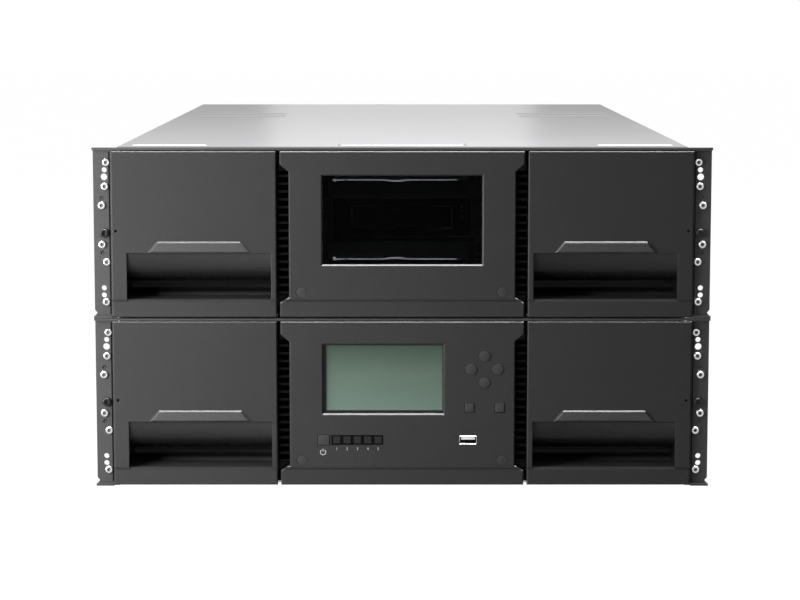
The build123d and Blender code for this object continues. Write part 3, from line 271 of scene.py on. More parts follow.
def colour_ramp(tree, value, stops):
    """Colour that goes from one (position, colour) stop to the next as a value rises."""
    ramp = add_node(tree, "ValToRGB", {0: value})
    for position, _ in stops[1:-1]:
        ramp.color_ramp.elements.new(position)
    for element, (position, colour) in zip(ramp.color_ramp.elements, stops):
        element.position = position
        element.color = (*colour, 1)
    return ramp.outputs[0]


# Painted light and shade: colour lighter on the thumb pads in front of the face, darker deeper behind it,
# and left as it is where faces look up.
shade_group, shade_given, shade_made = new_group(
    "painted_depth_shade", (("Colour", "Color", neutral), ("Roughness", "Float", 0.5)),
    (("Colour", "Color"), ("Roughness", "Float")))
shade_place = add_node(shade_group, "TexCoord").outputs
shade_axes = add_node(shade_group, "SeparateXYZ", {0: shade_place["Object"]}).outputs
shade_depth = ranged(shade_group, shade_axes["Y"], 0.0, 1.0, shade_near, shade_far)
painted_depth_stops = ((0.04, 1.6), (0.09, 1.0), (0.22, 0.62), (0.44, 0.3), (0.85, 0.12))
half_stops = [(position, (shade / 2,) * 3) for position, shade in painted_depth_stops]
full_shade = maths(shade_group, "MULTIPLY", colour_ramp(shade_group, shade_depth, half_stops), 2.0)
shade_normal = add_node(shade_group, "SeparateXYZ", {0: shade_place["Normal"]}).outputs["Z"]
upward = ranged(shade_group, shade_normal, 0.0, 1.0, upward_from, upward_full)
kept_shade = ranged(shade_group, upward, full_shade, 1.0)
shaded = tinted(shade_group, shade_given["Colour"], kept_shade)
# Painted shade in a band at the height of each pocket's lower lip: colour darkened there, and roughness
# raised.
module_rise = maths(shade_group, "MODULO", shade_axes["Z"], module_height * millimetre)
lip_mask = maths(shade_group, "COMPARE", module_rise, lip_height * millimetre, lip_reach * millimetre)
lip_finish = ranged(shade_group, lip_mask, shade_given["Roughness"], lip_roughness)
shade_group.links.new(lip_finish, shade_made["Roughness"])
lip_painted_colour = tinted(shade_group, shaded, ranged(shade_group, lip_mask, 1.0, lip_painted_shade))
shade_group.links.new(lip_painted_colour, shade_made["Colour"])

charcoal_moulding = finished("charcoal_moulding", (0.0385, 0.0385, 0.0395), 0.27, 0.08, grain=1800,
                             relief=0.1, spread=0.06)
cover_tree = charcoal_moulding.node_tree
cover_finish = cover_tree.nodes["finish"].outputs
cover_shade = add_node(cover_tree, "Group", node_tree=shade_group)
feed(cover_tree, cover_finish, cover_shade.inputs, {"Colour": "Colour", "Roughness": "Roughness"})
feed(cover_tree, cover_shade.outputs, cover_tree.nodes["Principled BSDF"].inputs,
     {"Colour": "Base Color", "Roughness": "Roughness"})
front_covers = ("centre_panel", "left_bezel", "right_bezel")
dress([f"{module}_{cover}" for module in module_bases for cover in front_covers], charcoal_moulding, 0.3)

# Vent inserts: slatted black mouldings beside the centre panels, so deep and dark that
# their slats only just show.
vent_moulding = finished("black_moulding", (0.0035, 0.0035, 0.004), 0.6, 0.03, grain=2500, relief=0.08)
dress(["side_louvres"], vent_moulding)

# Keys: sprung caps of a slightly lighter charcoal than the panel, four rounded hexagons
# about a middle, two small squares and the power key. Each has a crowned face and a
# wider foot behind the panel, which keeps it in its opening.
key_rise = 0.6
key_crown = 0.25
key_foot_front = 3.3
key_foot_back = 8.0
key_foot_rim = 1.13
key_sides = 56
arrow_x, arrow_z = 64.7, 92.8
arrow_offset = 10.4
arrow_half = 4.15
square_half = 3.55
square_key_height = 62.3
square_key_offset = 11.8
power_key_middle = (-61.8, 36.75)
power_key_half = (4.4, 3.85)

key_moulding = finished("key_cap", (0.036, 0.036, 0.0375), 0.5, 0.14, grain=2600, relief=0.1)


def grid_faces(rows, columns, wrap_rows=False, wrap_columns=False):
    """Quads between the lines of a grid of points; a wrapped way joins its last line to its first."""
    row = np.arange(rows if wrap_rows else rows - 1)[:, None]
    column = np.arange(columns if wrap_columns else columns - 1)[None, :]
    next_row, next_column = (row + 1) % rows, (column + 1) % columns
    corners = (row * columns + column, row * columns + next_column,
               next_row * columns + next_column, next_row * columns + column)
    return np.stack(np.broadcast_arrays(*corners), axis=-1).reshape(-1, 4)


def rounded_polygon(corner_count, sides, sharpness=14.0, turn=0.0):
    """Outline of a polygon of inner radius 1: at each angle, one over the p-norm of its cosines to the
    middles of the polygon's sides, so that a higher sharpness gives tighter corners."""
    angle = np.linspace(0, 2 * np.pi, sides, endpoint=False)
    middles = turn + np.arange(corner_count) * 2 * np.pi / corner_count
    cosines = np.maximum(np.cos(angle[:, None] - middles[None, :]), 0)
    radius = (cosines ** sharpness).sum(axis=1) ** (-1 / sharpness)
    return np.stack((radius * np.cos(angle), radius * np.sin(angle)), axis=1)


def carried(profile, outline):
    """Shape whose rings are the outline times each share of a (share, height) profile, at that height."""
    shares, heights = np.array(profile, float).T
    flat = shares[:, None, None] * outline[None, :, :]
    points = np.concatenate((flat, np.broadcast_to(heights[:, None, None], flat.shape[:2] + (1,))), axis=2)
    return points, grid_faces(len(shares), len(outline), wrap_columns=True)


def in_metres(across, back, up):
    """Points this far across, behind the front face and up, turned from millimetres into metres."""
    return np.stack((across, back, up), axis=-1).reshape(-1, 3) * millimetre + (0, front_y, 0)


def facing_front(points, x, z, depth=0.0):
    """Points of X, Z and height towards the viewer, moved to a place on the library's front."""
    across, up, height = points.reshape(-1, 3).T
    return in_metres(across + x, depth - height, up + z)


def facing_rear(points, x, z, depth):
    """Points of X, Z and height towards a viewer behind the library, moved to a place on its rear."""
    across, up, height = points.reshape(-1, 3).T
    return in_metres(x - across, depth + height, up + z)


def facing_up(points, x, depth, z):
    """Points of X, Y and height, moved to a place on a level surface this far behind the front face."""
    across, along, height = points.reshape(-1, 3).T
    return in_metres(across + x, along + depth, height + z)


def facing_side(points, side, x, depth, z):
    """Points of Y, Z and height away from the middle, moved to a place on one of the library's sides."""
    along, up, height = points.reshape(-1, 3).T
    return in_metres(side * (height + x), along + depth, up + z)


def joined(shapes):
    """Points and quads of several shapes as one."""
    counts = np.cumsum([0] + [len(points) for points, _ in shapes])
    points = np.concatenate([points for points, _ in shapes])
    return points, np.concatenate([faces + start for (_, faces), start in zip(shapes, counts)])


def placed(shape, facing, *place):
    """Shape that faces a way, moved to its place."""
    return facing(shape[0], *place), shape[1]


def copies(shape, facing, places):
    """One shape at several places, as one."""
    return joined([placed(shape, facing, *place) for place in places])


def new_piece(name, shape, material, body="chassis", stands_for=None, crease=30.0):
    """Mesh piece on a body: doubles merged, faces turned outward, and creased past an angle in degrees."""
    points, faces = shape
    mesh = bpy.data.meshes.new(name)
    mesh.from_pydata(points.tolist(), [], faces.tolist())
    work = bmesh.new()
    work.from_mesh(mesh)
    bmesh.ops.remove_doubles(work, verts=work.verts, dist=1e-6)
    bmesh.ops.recalc_face_normals(work, faces=work.faces)
    work.to_mesh(mesh)
    work.free()
    mesh.polygons.foreach_set("use_smooth", np.ones(len(mesh.polygons), bool))
    mesh.set_sharp_from_angle(angle=math.radians(crease))
    mesh.materials.append(material)
    piece = new_object(name, mesh)
    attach(piece, body)
    if stands_for:
        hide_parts(stands_for)


crown_shares = np.cos(np.linspace(0.2, np.pi / 2, 9))
crown = [(0.93 * share, key_rise + key_crown * (1 - share ** 2)) for share in crown_shares]
key_profile = [(0, -key_foot_back), (key_foot_rim, -key_foot_back), (key_foot_rim, -key_foot_front),
               (1, -key_foot_front), (1, key_rise * 0.4), (0.97, key_rise * 0.85), *crown]
arrow = rounded_polygon(6, key_sides, 9.0, math.pi / 6) * arrow_half
square = rounded_polygon(4, key_sides, 22.0)
keys = {
    "up_key": (arrow, arrow_x, arrow_z + arrow_offset),
    "down_key": (arrow, arrow_x, arrow_z - arrow_offset),
    "left_key": (arrow, arrow_x - arrow_offset, arrow_z),
    "right_key": (arrow, arrow_x + arrow_offset, arrow_z),
    "back_key": (square * square_half, arrow_x - square_key_offset, square_key_height),
    "enter_key": (square * square_half, arrow_x + square_key_offset, square_key_height),
    "power_key": (square * power_key_half, *power_key_middle),
}
for node, (outline, *place) in keys.items():
    cap = placed(carried(key_profile, outline), facing_front, *place)
    new_piece(f"{node}_face", cap, key_moulding, f"{node}_cap", node, 40)

# Status light bar: a near-black lens flush with the panel, with five square windows of
# smoked plastic pressed in from behind, one for each light.
lights_x, lights_z = -35.3, 36.75
light_bar_length = 40.8
light_count = 5
light_window_half = 2.75
light_window_depth = 0.3
light_window_rise = 0.12

lens_moulding = finished("lens_moulding", (0.002, 0.002, 0.0023), 0.3, 0.05, grain=2500, relief=0.03)
smoked_plastic = finished("smoked_plastic", (0.018, 0.018, 0.019), 0.4, 0.08, grain=2500, relief=0.03)
dress(["status_light_bar"], lens_moulding, 0.1)


def rim(half_width, half_height, corner, per_corner=4):
    """Outline of a rectangle with round corners: quarter circles about the corners' middles, in turn."""
    turn = np.arange(4)[:, None] * np.pi / 2 + np.linspace(0, np.pi / 2, per_corner)[None, :]
    turn = turn.ravel()
    sign = np.repeat(np.array(((1, 1), (-1, 1), (-1, -1), (1, -1))), per_corner, axis=0)
    middle = sign * np.maximum(np.array((half_width, half_height)) - corner, 0)
    return middle + corner * np.stack((np.cos(turn), np.sin(turn)), axis=1)


def level_ring(half_width, half_height, corner, inset, height):
    """Rounded rectangle drawn in by an inset, at a height."""
    inset = min(inset, half_width, half_height)
    flat = rim(half_width - inset, half_height - inset, max(corner - inset, 0))
    return np.concatenate((flat, np.full((len(flat), 1), height)), axis=1)


def raised_pad(half_width, half_height, low, high, edge, corner=0.0, steps=()):
    """Closed pad between two levels, its top edge chamfered; steps are more (inset, height) rings."""
    centre = min(half_width, half_height)
    profile = [(centre, low), (0, low), *steps, (0, high - edge), (edge, high), (centre, high)]
    rings = np.stack([level_ring(half_width, half_height, corner, *ring) for ring in profile])
    return rings, grid_faces(*rings.shape[:2], wrap_columns=True)


def open_frame(outer, inner, low, high, edge):
    """Closed frame between two (half width, half height, corner) rectangles, its top edges chamfered."""
    rings = [level_ring(*outer, 0, low), level_ring(*outer, 0, high - edge), level_ring(*outer, edge, high),
             level_ring(*inner, -edge, high), level_ring(*inner, 0, high - edge), level_ring(*inner, 0, low)]
    return np.stack(rings), grid_faces(len(rings), len(rings[0]), wrap_rows=True, wrap_columns=True)


light_pitch = light_bar_length / light_count
light_places = [lights_x + (number - (light_count - 1) / 2) * light_pitch for number in range(light_count)]
light_window = raised_pad(light_window_half, light_window_half, -light_window_depth, light_window_rise,
                          0.08, 0.3)
light_windows = copies(light_window, facing_front, [(x, lights_z, light_window_depth) for x in light_places])
new_piece("light_windows", light_windows, smoked_plastic)

# Panel marks: plain numerals under the lights and a power mark under its key, printed in
# pale grey, and a faint hexagonal plug near each lower corner of the centre panels.
mark_size = 3.0
mark_drop = 7.0
print_thickness = 0.03
power_mark_x, power_mark_z = -62.4, 27.1
power_mark_radius = 2.1
power_mark_line = 0.28
plug_radius = 3.9
plug_recess = 0.3
plug_x, plug_z = 78.5, 20.5
sides = {"left": -1, "right": 1}
ears = [(side, base) for base in module_bases.values() for side in sides.values()]

print_ink = finished("print_ink", (0.45, 0.45, 0.45), 0.6, grain=2500, relief=0.02)
plug_moulding = finished("plug_moulding", (0.039, 0.039, 0.04), 0.4, 0.1, grain=2200, relief=0.1)


def printed_text(name, words, size, x, z):
    """Flat text, set in mesh form on the front face, its middle at a place."""
    curve = bpy.data.curves.new(name, "FONT")
    curve.body = words
    curve.size = size * millimetre
    curve.align_x = "CENTER"
    curve.extrude = print_thickness * millimetre
    holder = new_object(name, curve)
    flat = bpy.data.meshes.new_from_object(holder.evaluated_get(bpy.context.evaluated_depsgraph_get()))
    bpy.data.objects.remove(holder)
    places = np.empty(len(flat.vertices) * 3)
    flat.vertices.foreach_get("co", places)
    flat.vertices.foreach_set("co", facing_front(places / millimetre, x, z).ravel())
    flat.materials.clear()
    flat.materials.append(print_ink)
    flat.update()
    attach(new_object(name, flat), "chassis")


bpy.context.view_layer.update()
for number, x in enumerate(light_places, 1):
    printed_text(f"light_numeral_{number}", str(number), mark_size, x, lights_z - mark_drop - mark_size / 3)


def about_axis(radius, angle, height, wrap_rows=False):
    """Shape from the radii, angles and heights of its points about an axis, one row to each ring."""
    points = np.broadcast_arrays(radius * np.cos(angle), radius * np.sin(angle), height)
    return np.stack(points, axis=2), grid_faces(*points[0].shape, wrap_rows=wrap_rows, wrap_columns=True)


def printed_arc(radius, line, start, end, sides=40):
    """Flat arc with square ends: two circles, each at two heights, from a start to an end angle."""
    angle = np.linspace(start, end, sides)[:, None]
    radii = radius + line * np.array((-1, 1, 1, -1)) + 0 * angle
    heights = print_thickness * np.array((-1, -1, 1, 1)) + 0 * angle
    radii[[0, -1]] = radius
    heights[[0, -1]] = 0
    return about_axis(radii, angle, heights)


ring_mark = printed_arc(power_mark_radius, power_mark_line, math.radians(125), math.radians(415))
bar_mark = raised_pad(power_mark_line, power_mark_radius * 0.55, -print_thickness, print_thickness, 0)
power_mark = [placed(ring_mark, facing_front, power_mark_x, power_mark_z),
              placed(bar_mark, facing_front, power_mark_x, power_mark_z + power_mark_radius * 0.75)]
new_piece("power_mark", joined(power_mark), print_ink)

plug_profile = ((0, -plug_recess), (1, -plug_recess), (1, -0.1), (0.93, 0), (0, 0))
plug = carried(plug_profile, rounded_polygon(6, key_sides, 30.0, math.pi / 6) * plug_radius)
plugs = copies(plug, facing_front, [(side * plug_x, base + plug_z) for side, base in ears])
new_piece("corner_plugs", plugs, plug_moulding)

# Front port: a drawn steel shell with rolled edges round a dark mouth, and a pale
# insulating tongue with four spring contacts in its upper half.
port_x, port_z = 51.8, 36.75
port_half = np.array((6.85, 3.3))
port_wall = 0.45
port_depth = 9.0
port_floor = port_wall - port_depth
tongue_half = (5.4, 0.95)
tongue_offset = 1.1
contact_pitch = 2.2

rolled_finish = finish_group("rolled_finish", 3.0, 7.0, 0.95, 1.05)


def metal(name, colour, roughness, group=rolled_finish, **values):
    """Bare metal with a finish group's grain."""
    return finished(name, colour, roughness, metallic=1.0, group=group, **values)


bright_steel = metal("bright_steel", (0.6, 0.6, 0.61), 0.3, relief=0.03)
brass_contact = metal("contact_plating", (0.83, 0.62, 0.3), 0.3, relief=0.02)
port_steel = metal("port_steel", (0.36, 0.36, 0.365), 0.32, relief=0.03)
pale_insulator = finished("pale_insulator", (0.75, 0.75, 0.73), 0.45, grain=2000, relief=0.05)
port_shell = open_frame((*port_half, 0.9), (*(port_half - port_wall), 0.6), -port_depth, 0.3, 0.15)
new_piece("port_shell", placed(port_shell, facing_front, port_x, port_z), port_steel, "chassis",
          "front_port", 40)
port_back = raised_pad(*(port_half - port_wall), -port_depth, port_floor, 0.1, 0.5)
new_piece("port_back", placed(port_back, facing_front, port_x, port_z), lens_moulding)
tongue = raised_pad(*tongue_half, port_floor, -0.4, 0.3, 0.2)
new_piece("port_tongue", placed(tongue, facing_front, port_x, port_z + tongue_offset), pale_insulator)
contact = raised_pad(0.5, 0.12, port_floor, -1.6, 0.1)
contact_z = port_z + tongue_offset - tongue_half[1] - 0.1
contacts = [(port_x + (number - 1.5) * contact_pitch, contact_z) for number in range(4)]
new_piece("port_contacts", copies(contact, facing_front, contacts), brass_contact)

# Display: a liquid crystal module in a black pressed frame behind its opening. The glass
# is grey-green; its colour darkens towards its top, a painted shade and reflection.
display_span = ((-61.8, 32.0), (58.0, 112.2))
display_rim = 3.0
display_front = 3.05
display_back = 9.45
glass_low, glass_high = 60.2, 111.9
glass_span = ((-60.0, 31.6), (glass_low, glass_high))
glass_back = -display_front - 0.35
glass_painted_stops = ((0.0, (0.122, 0.176, 0.147)), (0.55, (0.093, 0.13, 0.102)), (1.0, (0.042, 0.064, 0.048)))

black_moulding = finished("frame_moulding", (0.011, 0.011, 0.012), 0.42, 0.2, grain=2500, relief=0.08)


def span_middle(spans):
    """Middle and half sizes of a pair of spans."""
    low, high = np.array(spans).T
    return (low + high) / 2, (high - low) / 2


case_middle, case_half = span_middle(display_span)
display_case = raised_pad(*(case_half + display_rim), -display_back, -display_front, 0.3, 0.8)
new_piece("display_case", placed(display_case, facing_front, *case_middle), black_moulding, "chassis",
          "display_module")

display_glass, glass_tree, glass_sockets = new_material("display_panel", {"Roughness": 0.3,
                                                                          "Specular IOR Level": 0.15})
glass_place = add_node(glass_tree, "TexCoord").outputs["Object"]
glass_z = add_node(glass_tree, "SeparateXYZ", {0: glass_place}).outputs["Z"]
glass_rise = ranged(glass_tree, glass_z, 0.0, 1.0, glass_low * millimetre, glass_high * millimetre)
glass_cloud = add_node(glass_tree, "TexNoise", {"Vector": glass_place, "Scale": 30.0}).outputs[0]
# Painted shade and reflection: the glass's colour darkens from its foot to its top.
glass_colour = tinted(glass_tree, colour_ramp(glass_tree, glass_rise, glass_painted_stops),
                      ranged(glass_tree, glass_cloud, 0.94, 1.06))
glass_tree.links.new(glass_colour, glass_sockets["Base Color"])
glass_middle, glass_half = span_middle(glass_span)
glass_pad = raised_pad(*glass_half, glass_back, -display_front + 0.15, 0.1)
new_piece("display_glass", placed(glass_pad, facing_front, *glass_middle), display_glass)

# Display frame: the black pressed steel frame that holds the glass to its module. It
# shows as a thin dark line round the glass, wider at the left and the foot.
glass_frame = open_frame((*(glass_half + 0.6), 0.4), (*(glass_half - 0.2), 0.2), glass_back,
                         -display_front + 0.6, 0.1)
new_piece("display_frame", placed(glass_frame, facing_front, *glass_middle), black_moulding)

# Panel board: a green circuit board behind the lower centre panel, with its packages, a
# row of can capacitors and tall sockets for the leads on its back.
board_back = 11.0
solder_mask = finished("circuit_board", (0.02, 0.13, 0.04), 0.35, grain=900, relief=0.05)
package_black = finished("package_black", (0.015, 0.015, 0.016), 0.5, grain=2200, relief=0.1)
dress(["panel_board"], solder_mask)
package_places = ((-52, 84, 9, 9, 1.6), (-20, 96, 6, 4, 1.4), (4, 76, 11, 11, 1.8), (34, 98, 5, 7, 1.4),
                  (58, 70, 7, 5, 1.4), (-60, 48, 5, 4, 1.2), (22, 44, 8, 5, 1.5), (-8, 46, 4, 3, 1.1))
socket_places = ((-34, 30, 14, 3.2, 7.0), (30, 28, 10, 3.2, 7.0), (66, 104, 6, 3.0, 6.0))
can_profile = ((0, 0), (3, 0), (3, 0.8), (2.8, 1.1), (3, 1.4), (3, 6.6), (2.6, 7), (2.2, 6.85), (0, 6.85))
can_columns = (-44, -35, -26)
can_height = 62


def pads(places, facing, level, edge, corner):
    """Pads that stand on a surface at a level; each row is a pad's middle, its half sizes and its rise."""
    shapes = []
    for across, along, half_width, half_height, rise in places:
        pad = raised_pad(half_width, half_height, 0, rise, edge, corner)
        shapes.append(placed(pad, facing, across, along, level))
    return joined(shapes)


def turned(rings, sides=24, lobes=0):
    """Round piece of (radius, height, ripple) rings; the radius swells by the ripple times the cosine of the
    angle times the lobes, and a ring without a ripple is a plain circle."""
    radius, height, ripple = np.array([(*ring, 0)[:3] for ring in rings], float).T[:, :, None]
    angle = np.linspace(0, 2 * np.pi, sides, endpoint=False)[None, :]
    return about_axis(radius * (1 + ripple * np.cos(lobes * angle)), angle, height)


new_piece("board_packages", pads(package_places, facing_rear, board_back, 0.2, 0.3), package_black)
new_piece("board_sockets", pads(socket_places, facing_rear, board_back, 0.3, 0.4), pale_insulator)
can = turned(can_profile)
cans = copies(can, facing_rear, [(x, can_height, board_back) for x in can_columns])
new_piece("board_capacitors", cans, bright_steel)

# Window: a smoked clear sheet behind the upper panel's opening, with two bright spring
# strips across its back. Each has a pip at its left end, a short break beside it and a
# middle that bows away from the frame.
clip_left, clip_right = -53.0, 43.0
clip_break = (clip_left + 8, clip_left + 10)
clip_half = 0.42
clip_depth = 5.7
clip_bow = 0.8
clip_bow_half = 6.5
clip_bow_softness = 0.8
clip_middle = -5.0
clip_heights = ((module_height + 46.1, 1), (module_height + 108.1, -1))
pip_size = 1.3

clear_pane, pane_tree, pane_sockets = new_material(
    "clear_pane", {"Base Color": (0.42, 0.43, 0.44, 1), "IOR": 1.06, "Transmission Weight": 1.0})
pane_place = add_node(pane_tree, "TexCoord").outputs["Object"]
pane_smear = add_node(pane_tree, "TexNoise", {"Vector": pane_place, "Scale": 25.0}).outputs[0]
pane_tree.links.new(ranged(pane_tree, pane_smear, 0.02, 0.06), pane_sockets["Roughness"])
dress(["window_pane"], clear_pane)
spring_steel = metal("spring_steel", (0.75, 0.75, 0.76), 0.42, relief=0.03)


def clip_strip(start, end, height, away):
    """Square strip along X, whose middle line bows by a smooth step up and down about its middle."""
    x = np.linspace(start, end, 90)[:, None]
    rise = 1 / (1 + np.exp((np.abs(x - clip_middle) - clip_bow_half) / clip_bow_softness))
    middle = height + away * clip_bow * rise
    up = middle + clip_half * (1 + 0.6 * rise) * np.array((-1, 1, 1, -1))
    back = clip_half * np.array((0, 0, 2, 2)) + 0 * up
    up[[0, -1]] = middle[[0, -1]]
    back[[0, -1]] = clip_half
    return in_metres(x + 0 * up, clip_depth + back, up), grid_faces(len(x), 4, wrap_columns=True)


pip_profile = ((0, 0), (1, 0), (1, 0.6 * pip_size), (0.6, pip_size), (0, pip_size))
pip = carried(pip_profile, rounded_polygon(4, 24) * pip_size)
clip_shapes = []
for height, away in clip_heights:
    clip_shapes.append(clip_strip(clip_break[1], clip_right, height, away))
    clip_shapes.append(clip_strip(clip_left, clip_break[0], height, away))
    clip_shapes.append(placed(pip, facing_front, clip_left, height, clip_depth + pip_size))
new_piece("window_clip_strips", joined(clip_shapes), spring_steel, "chassis", "window_clips")

# Chassis sheets: zinc-plated steel with a faint rolling grain along the library, folded
# and spot-welded into the floor, walls, panels and the cases of the drives and supplies.
drive_bays = {"lower_drive_1": 0.0, "lower_drive_2": 42.0, "upper_drive": module_height}
zinc_sheet = metal("zinc_sheet", (0.43, 0.43, 0.44), 0.38, grain=900, stretch=(1, 0.03, 1), relief=0.03,
                   spread=0.06)
dress(["base_floor", "middle_decks", "side_walls", "bay_walls", "lower_rear_panel", "upper_rear_panel",
       "blank_covers", *drive_bays, "lower_power_supply", "upper_power_supply"], zinc_sheet)

# Top covers: the same sheet with pressed beads, its surface duller and darker at a low
# angle, as passivated zinc is.
cover_sheet = metal("cover_sheet", (0.34, 0.34, 0.345), 0.3, grain=900, stretch=(1, 0.03, 1), relief=0.005,
                    spread=0.015)
cover_sheet.node_tree.nodes["Principled BSDF"].inputs["Specular Tint"].default_value = (0.3, 0.3, 0.305, 1)
dress(["top_cover", "rear_top_cover"], cover_sheet)

# Coated frames: the front frames and the rack ears, folded from steel sheet and
# powder-coated a dark grey.
coated_finish = finish_group("coated_finish", 1.0, 20.0, 0.95, 1.05)
coated_steel = finished("coated_steel", (0.038, 0.038, 0.039), 0.5, 0.22, grain=900, relief=0.25,
                        group=coated_finish)
dress(["front_frames", "lower_rack_ears", "upper_rack_ears"], coated_steel, 0.2)

# Ear screws: plated machine screws with domed heads and six-lobed recesses, six in each
# ear, at the uneven places where the real ears are fixed to the walls and guides.
wall_outer = 223.0
ear_reach = 18.3
ear_front = 3.6
ear_screw_shares = ((0.412, 0.914), (0.48, 0.7735), (0.62, 0.662), (0.62, 0.433), (0.43, 0.330),
                    (0.466, 0.0945))
screw_sides = 36
recess_radius = 1.55
recess_floor = 0.6
recess_lobe = 0.14
recess_shade_radius = 1.45


def lobed_head(radius, height, hole_radius, hole_floor):
    """Domed screw head: a quarter ellipse from its rim to its recess, which swells in six lobes."""
    dome = np.linspace(0, 1, 7) ** 0.8
    arc_radius = radius + (hole_radius * 1.25 - radius) * dome
    arc_height = height * (0.45 + 0.55 * np.sqrt(1 - (1 - dome) ** 2))
    rings = [(0, 0), (radius, 0), *zip(arc_radius, arc_height), (hole_radius, height * 0.97, recess_lobe),
             (hole_radius * 0.94, hole_floor, recess_lobe), (hole_radius * 0.3, hole_floor * 0.8),
             (0, hole_floor * 0.7)]
    return turned(rings, screw_sides, 6)


def on_ears(shape, shares):
    """Copies of a shape on each ear, at shares of the ear's reach and of its module's height."""
    places = [(side * (wall_outer + across * ear_reach), base + up * module_height, ear_front)
              for side, base in ears for across, up in shares]
    return copies(shape, facing_front, places)


screw_head = lobed_head(3.0, 1.8, recess_radius, recess_floor)
new_piece("ear_screw_heads", on_ears(screw_head, ear_screw_shares), bright_steel, "chassis",
          "ear_screws", 35)
# Painted shade: a dark grey hexagon on the floor of each screw's recess stands for the shade inside it.
recess_painted_shade = finished("recess_painted_shade", (0.09, 0.09, 0.092), 0.6, 0.2, grain=1800, relief=0.1,
                        group=coated_finish)
recess_shade_profile = ((0, 0.5), (1, 0.5), (1, 0.75), (0, 0.75))
socket = carried(recess_shade_profile, rounded_polygon(6, screw_sides, 6.0) * recess_shade_radius)
new_piece("ear_recess_shade", on_ears(socket, ear_screw_shares), recess_painted_shade)

# Ear dimples: two small pressed rings in each ear, near-black, one above and one
# below the captive screw.
dimple_shares = ((0.634, 0.707), (0.634, 0.386))
dimple = turned(((0, 0), (1.6, 0), (1.5, 0.25), (1.25, 0.4), (1.0, 0.2), (0.7, 0.05), (0, 0.02)), 28)
black_steel = finished("black_steel", (0.012, 0.012, 0.013), 0.3, 0.2, grain=1800, relief=0.1,
                       group=coated_finish)
new_piece("ear_dimples", on_ears(dimple, dimple_shares), black_steel)

# Ear shadow strips: painted shadow, a thin black strip on each ear's face that stands for
# the shade at the edge of the bezel beside it.
shadow_strip_x = 228.3
shadow_strip_middle = 66.5
# Painted shadow: a black strip where the bezel's edge shades the ear.
strip = raised_pad(0.45, 63.5, 0, 0.25, 0.05)
shadow_strip_places = [(side * shadow_strip_x, base + shadow_strip_middle, ear_front) for side, base in ears]
new_piece("ear_shadow_strips", copies(strip, facing_front, shadow_strip_places), lens_moulding)

# Captive rack screws: black screws at mid-height of each ear with a lobed recess and a
# thread behind the ear, which fasten the library to the rack's front rails.
rack_screw_x = 232.55
rack_thread_radius = 2.5
rack_thread_pitch = 0.8
rack_thread_length = 18.0
rack_thread_rings = 135
dress(["lift_motor"], black_steel)


def thread(radius, pitch, length, rings, sides=28):
    """Thread: a rod whose radius falls by a triangle wave of its depth plus its turn's share of a pitch."""
    heights = np.linspace(0, 1, rings)[:, None]
    angle = np.linspace(0, 2 * np.pi, sides, endpoint=False)[None, :]
    wave = np.abs(((heights * length / pitch + angle / (2 * np.pi)) % 1.0) * 2 - 1)
    spread = radius - pitch * 0.5 * wave
    spread[[0, -1]] = 0
    return about_axis(spread, angle, -heights * length)


rack_head = lobed_head(3.6, 2.8, recess_radius * 1.15, recess_floor)
rack_thread = thread(rack_thread_radius, rack_thread_pitch, rack_thread_length, rack_thread_rings)
rack_places = [(side * rack_screw_x, base + module_height / 2, ear_front) for side, base in ears]
rack_screws = joined([copies(shape, facing_front, rack_places) for shape in (rack_head, rack_thread)])
new_piece("captive_screws", rack_screws, black_steel, "chassis", "captive_rack_screws", 35)

# Magazines: dark grey moulded trays on acetal runners, each holding nineteen half-inch
# tape cartridges. A cartridge is two moulded halves with a seam between them, a notch on
# each side for the gripper, a blank paper label and a write-protect slide on its end.
half_x, half_y = 52.7, 51.0
cartridge_height = 21.5
cartridge_middle = 155.4
cartridge_corner = 2.0
first_column = 121.0
column_pitch = 110.0
column_count = 4
tray_floor = 6.6
row_pitch = 24.0
row_count = 5
empty_slot = (0, row_count - 1)
notch_x = half_x - 9.5
notch_half = 4.0
slide_offset = 40

magazine_moulding = finished("magazine_moulding", (0.045, 0.046, 0.05), 0.5)
cartridge_shell = finished("cartridge_shell", (0.02, 0.023, 0.034), 0.45, grain=1900, relief=0.15)
blank_label = finished("blank_label", (0.5, 0.5, 0.48), 0.6, grain=3000, relief=0.03)
protect_red = finished("protect_slide", (0.32, 0.03, 0.02), 0.4, grain=2200, relief=0.05)
acetal = finished("gear_moulding", (0.6, 0.59, 0.54), 0.4, relief=0.05)
dress(["magazine_runners"], acetal)
dress([f"{module}_{side}_magazine" for module in module_bases for side in sides], magazine_moulding)

corner_x, corner_y = half_x - cartridge_corner, half_y - cartridge_corner
cartridge_outline = np.array((
    (corner_x, -half_y), (half_x, -corner_y), (half_x, corner_y), (corner_x, half_y),
    (notch_x + notch_half, half_y), (notch_x, half_y - notch_half), (notch_x - notch_half, half_y),
    (-corner_x, half_y), (-half_x, corner_y), (-half_x, -corner_y), (-corner_x, -half_y),
    (notch_x - notch_half, -half_y), (notch_x, notch_half - half_y), (notch_x + notch_half, -half_y),
))
seam = cartridge_height / 2
chamfer = 0.7
cartridge_profile = (
    (0, 0), (0.986, 0), (1, chamfer), (1, seam - chamfer / 2), (0.994, seam - chamfer / 4),
    (0.994, seam + chamfer / 4), (1, seam + chamfer / 2), (1, cartridge_height - chamfer),
    (0.986, cartridge_height), (0, cartridge_height),
)


def inward(shape):
    """Shape whose heights run towards the middle of the library."""
    return shape[0] * (1, 1, -1), shape[1]


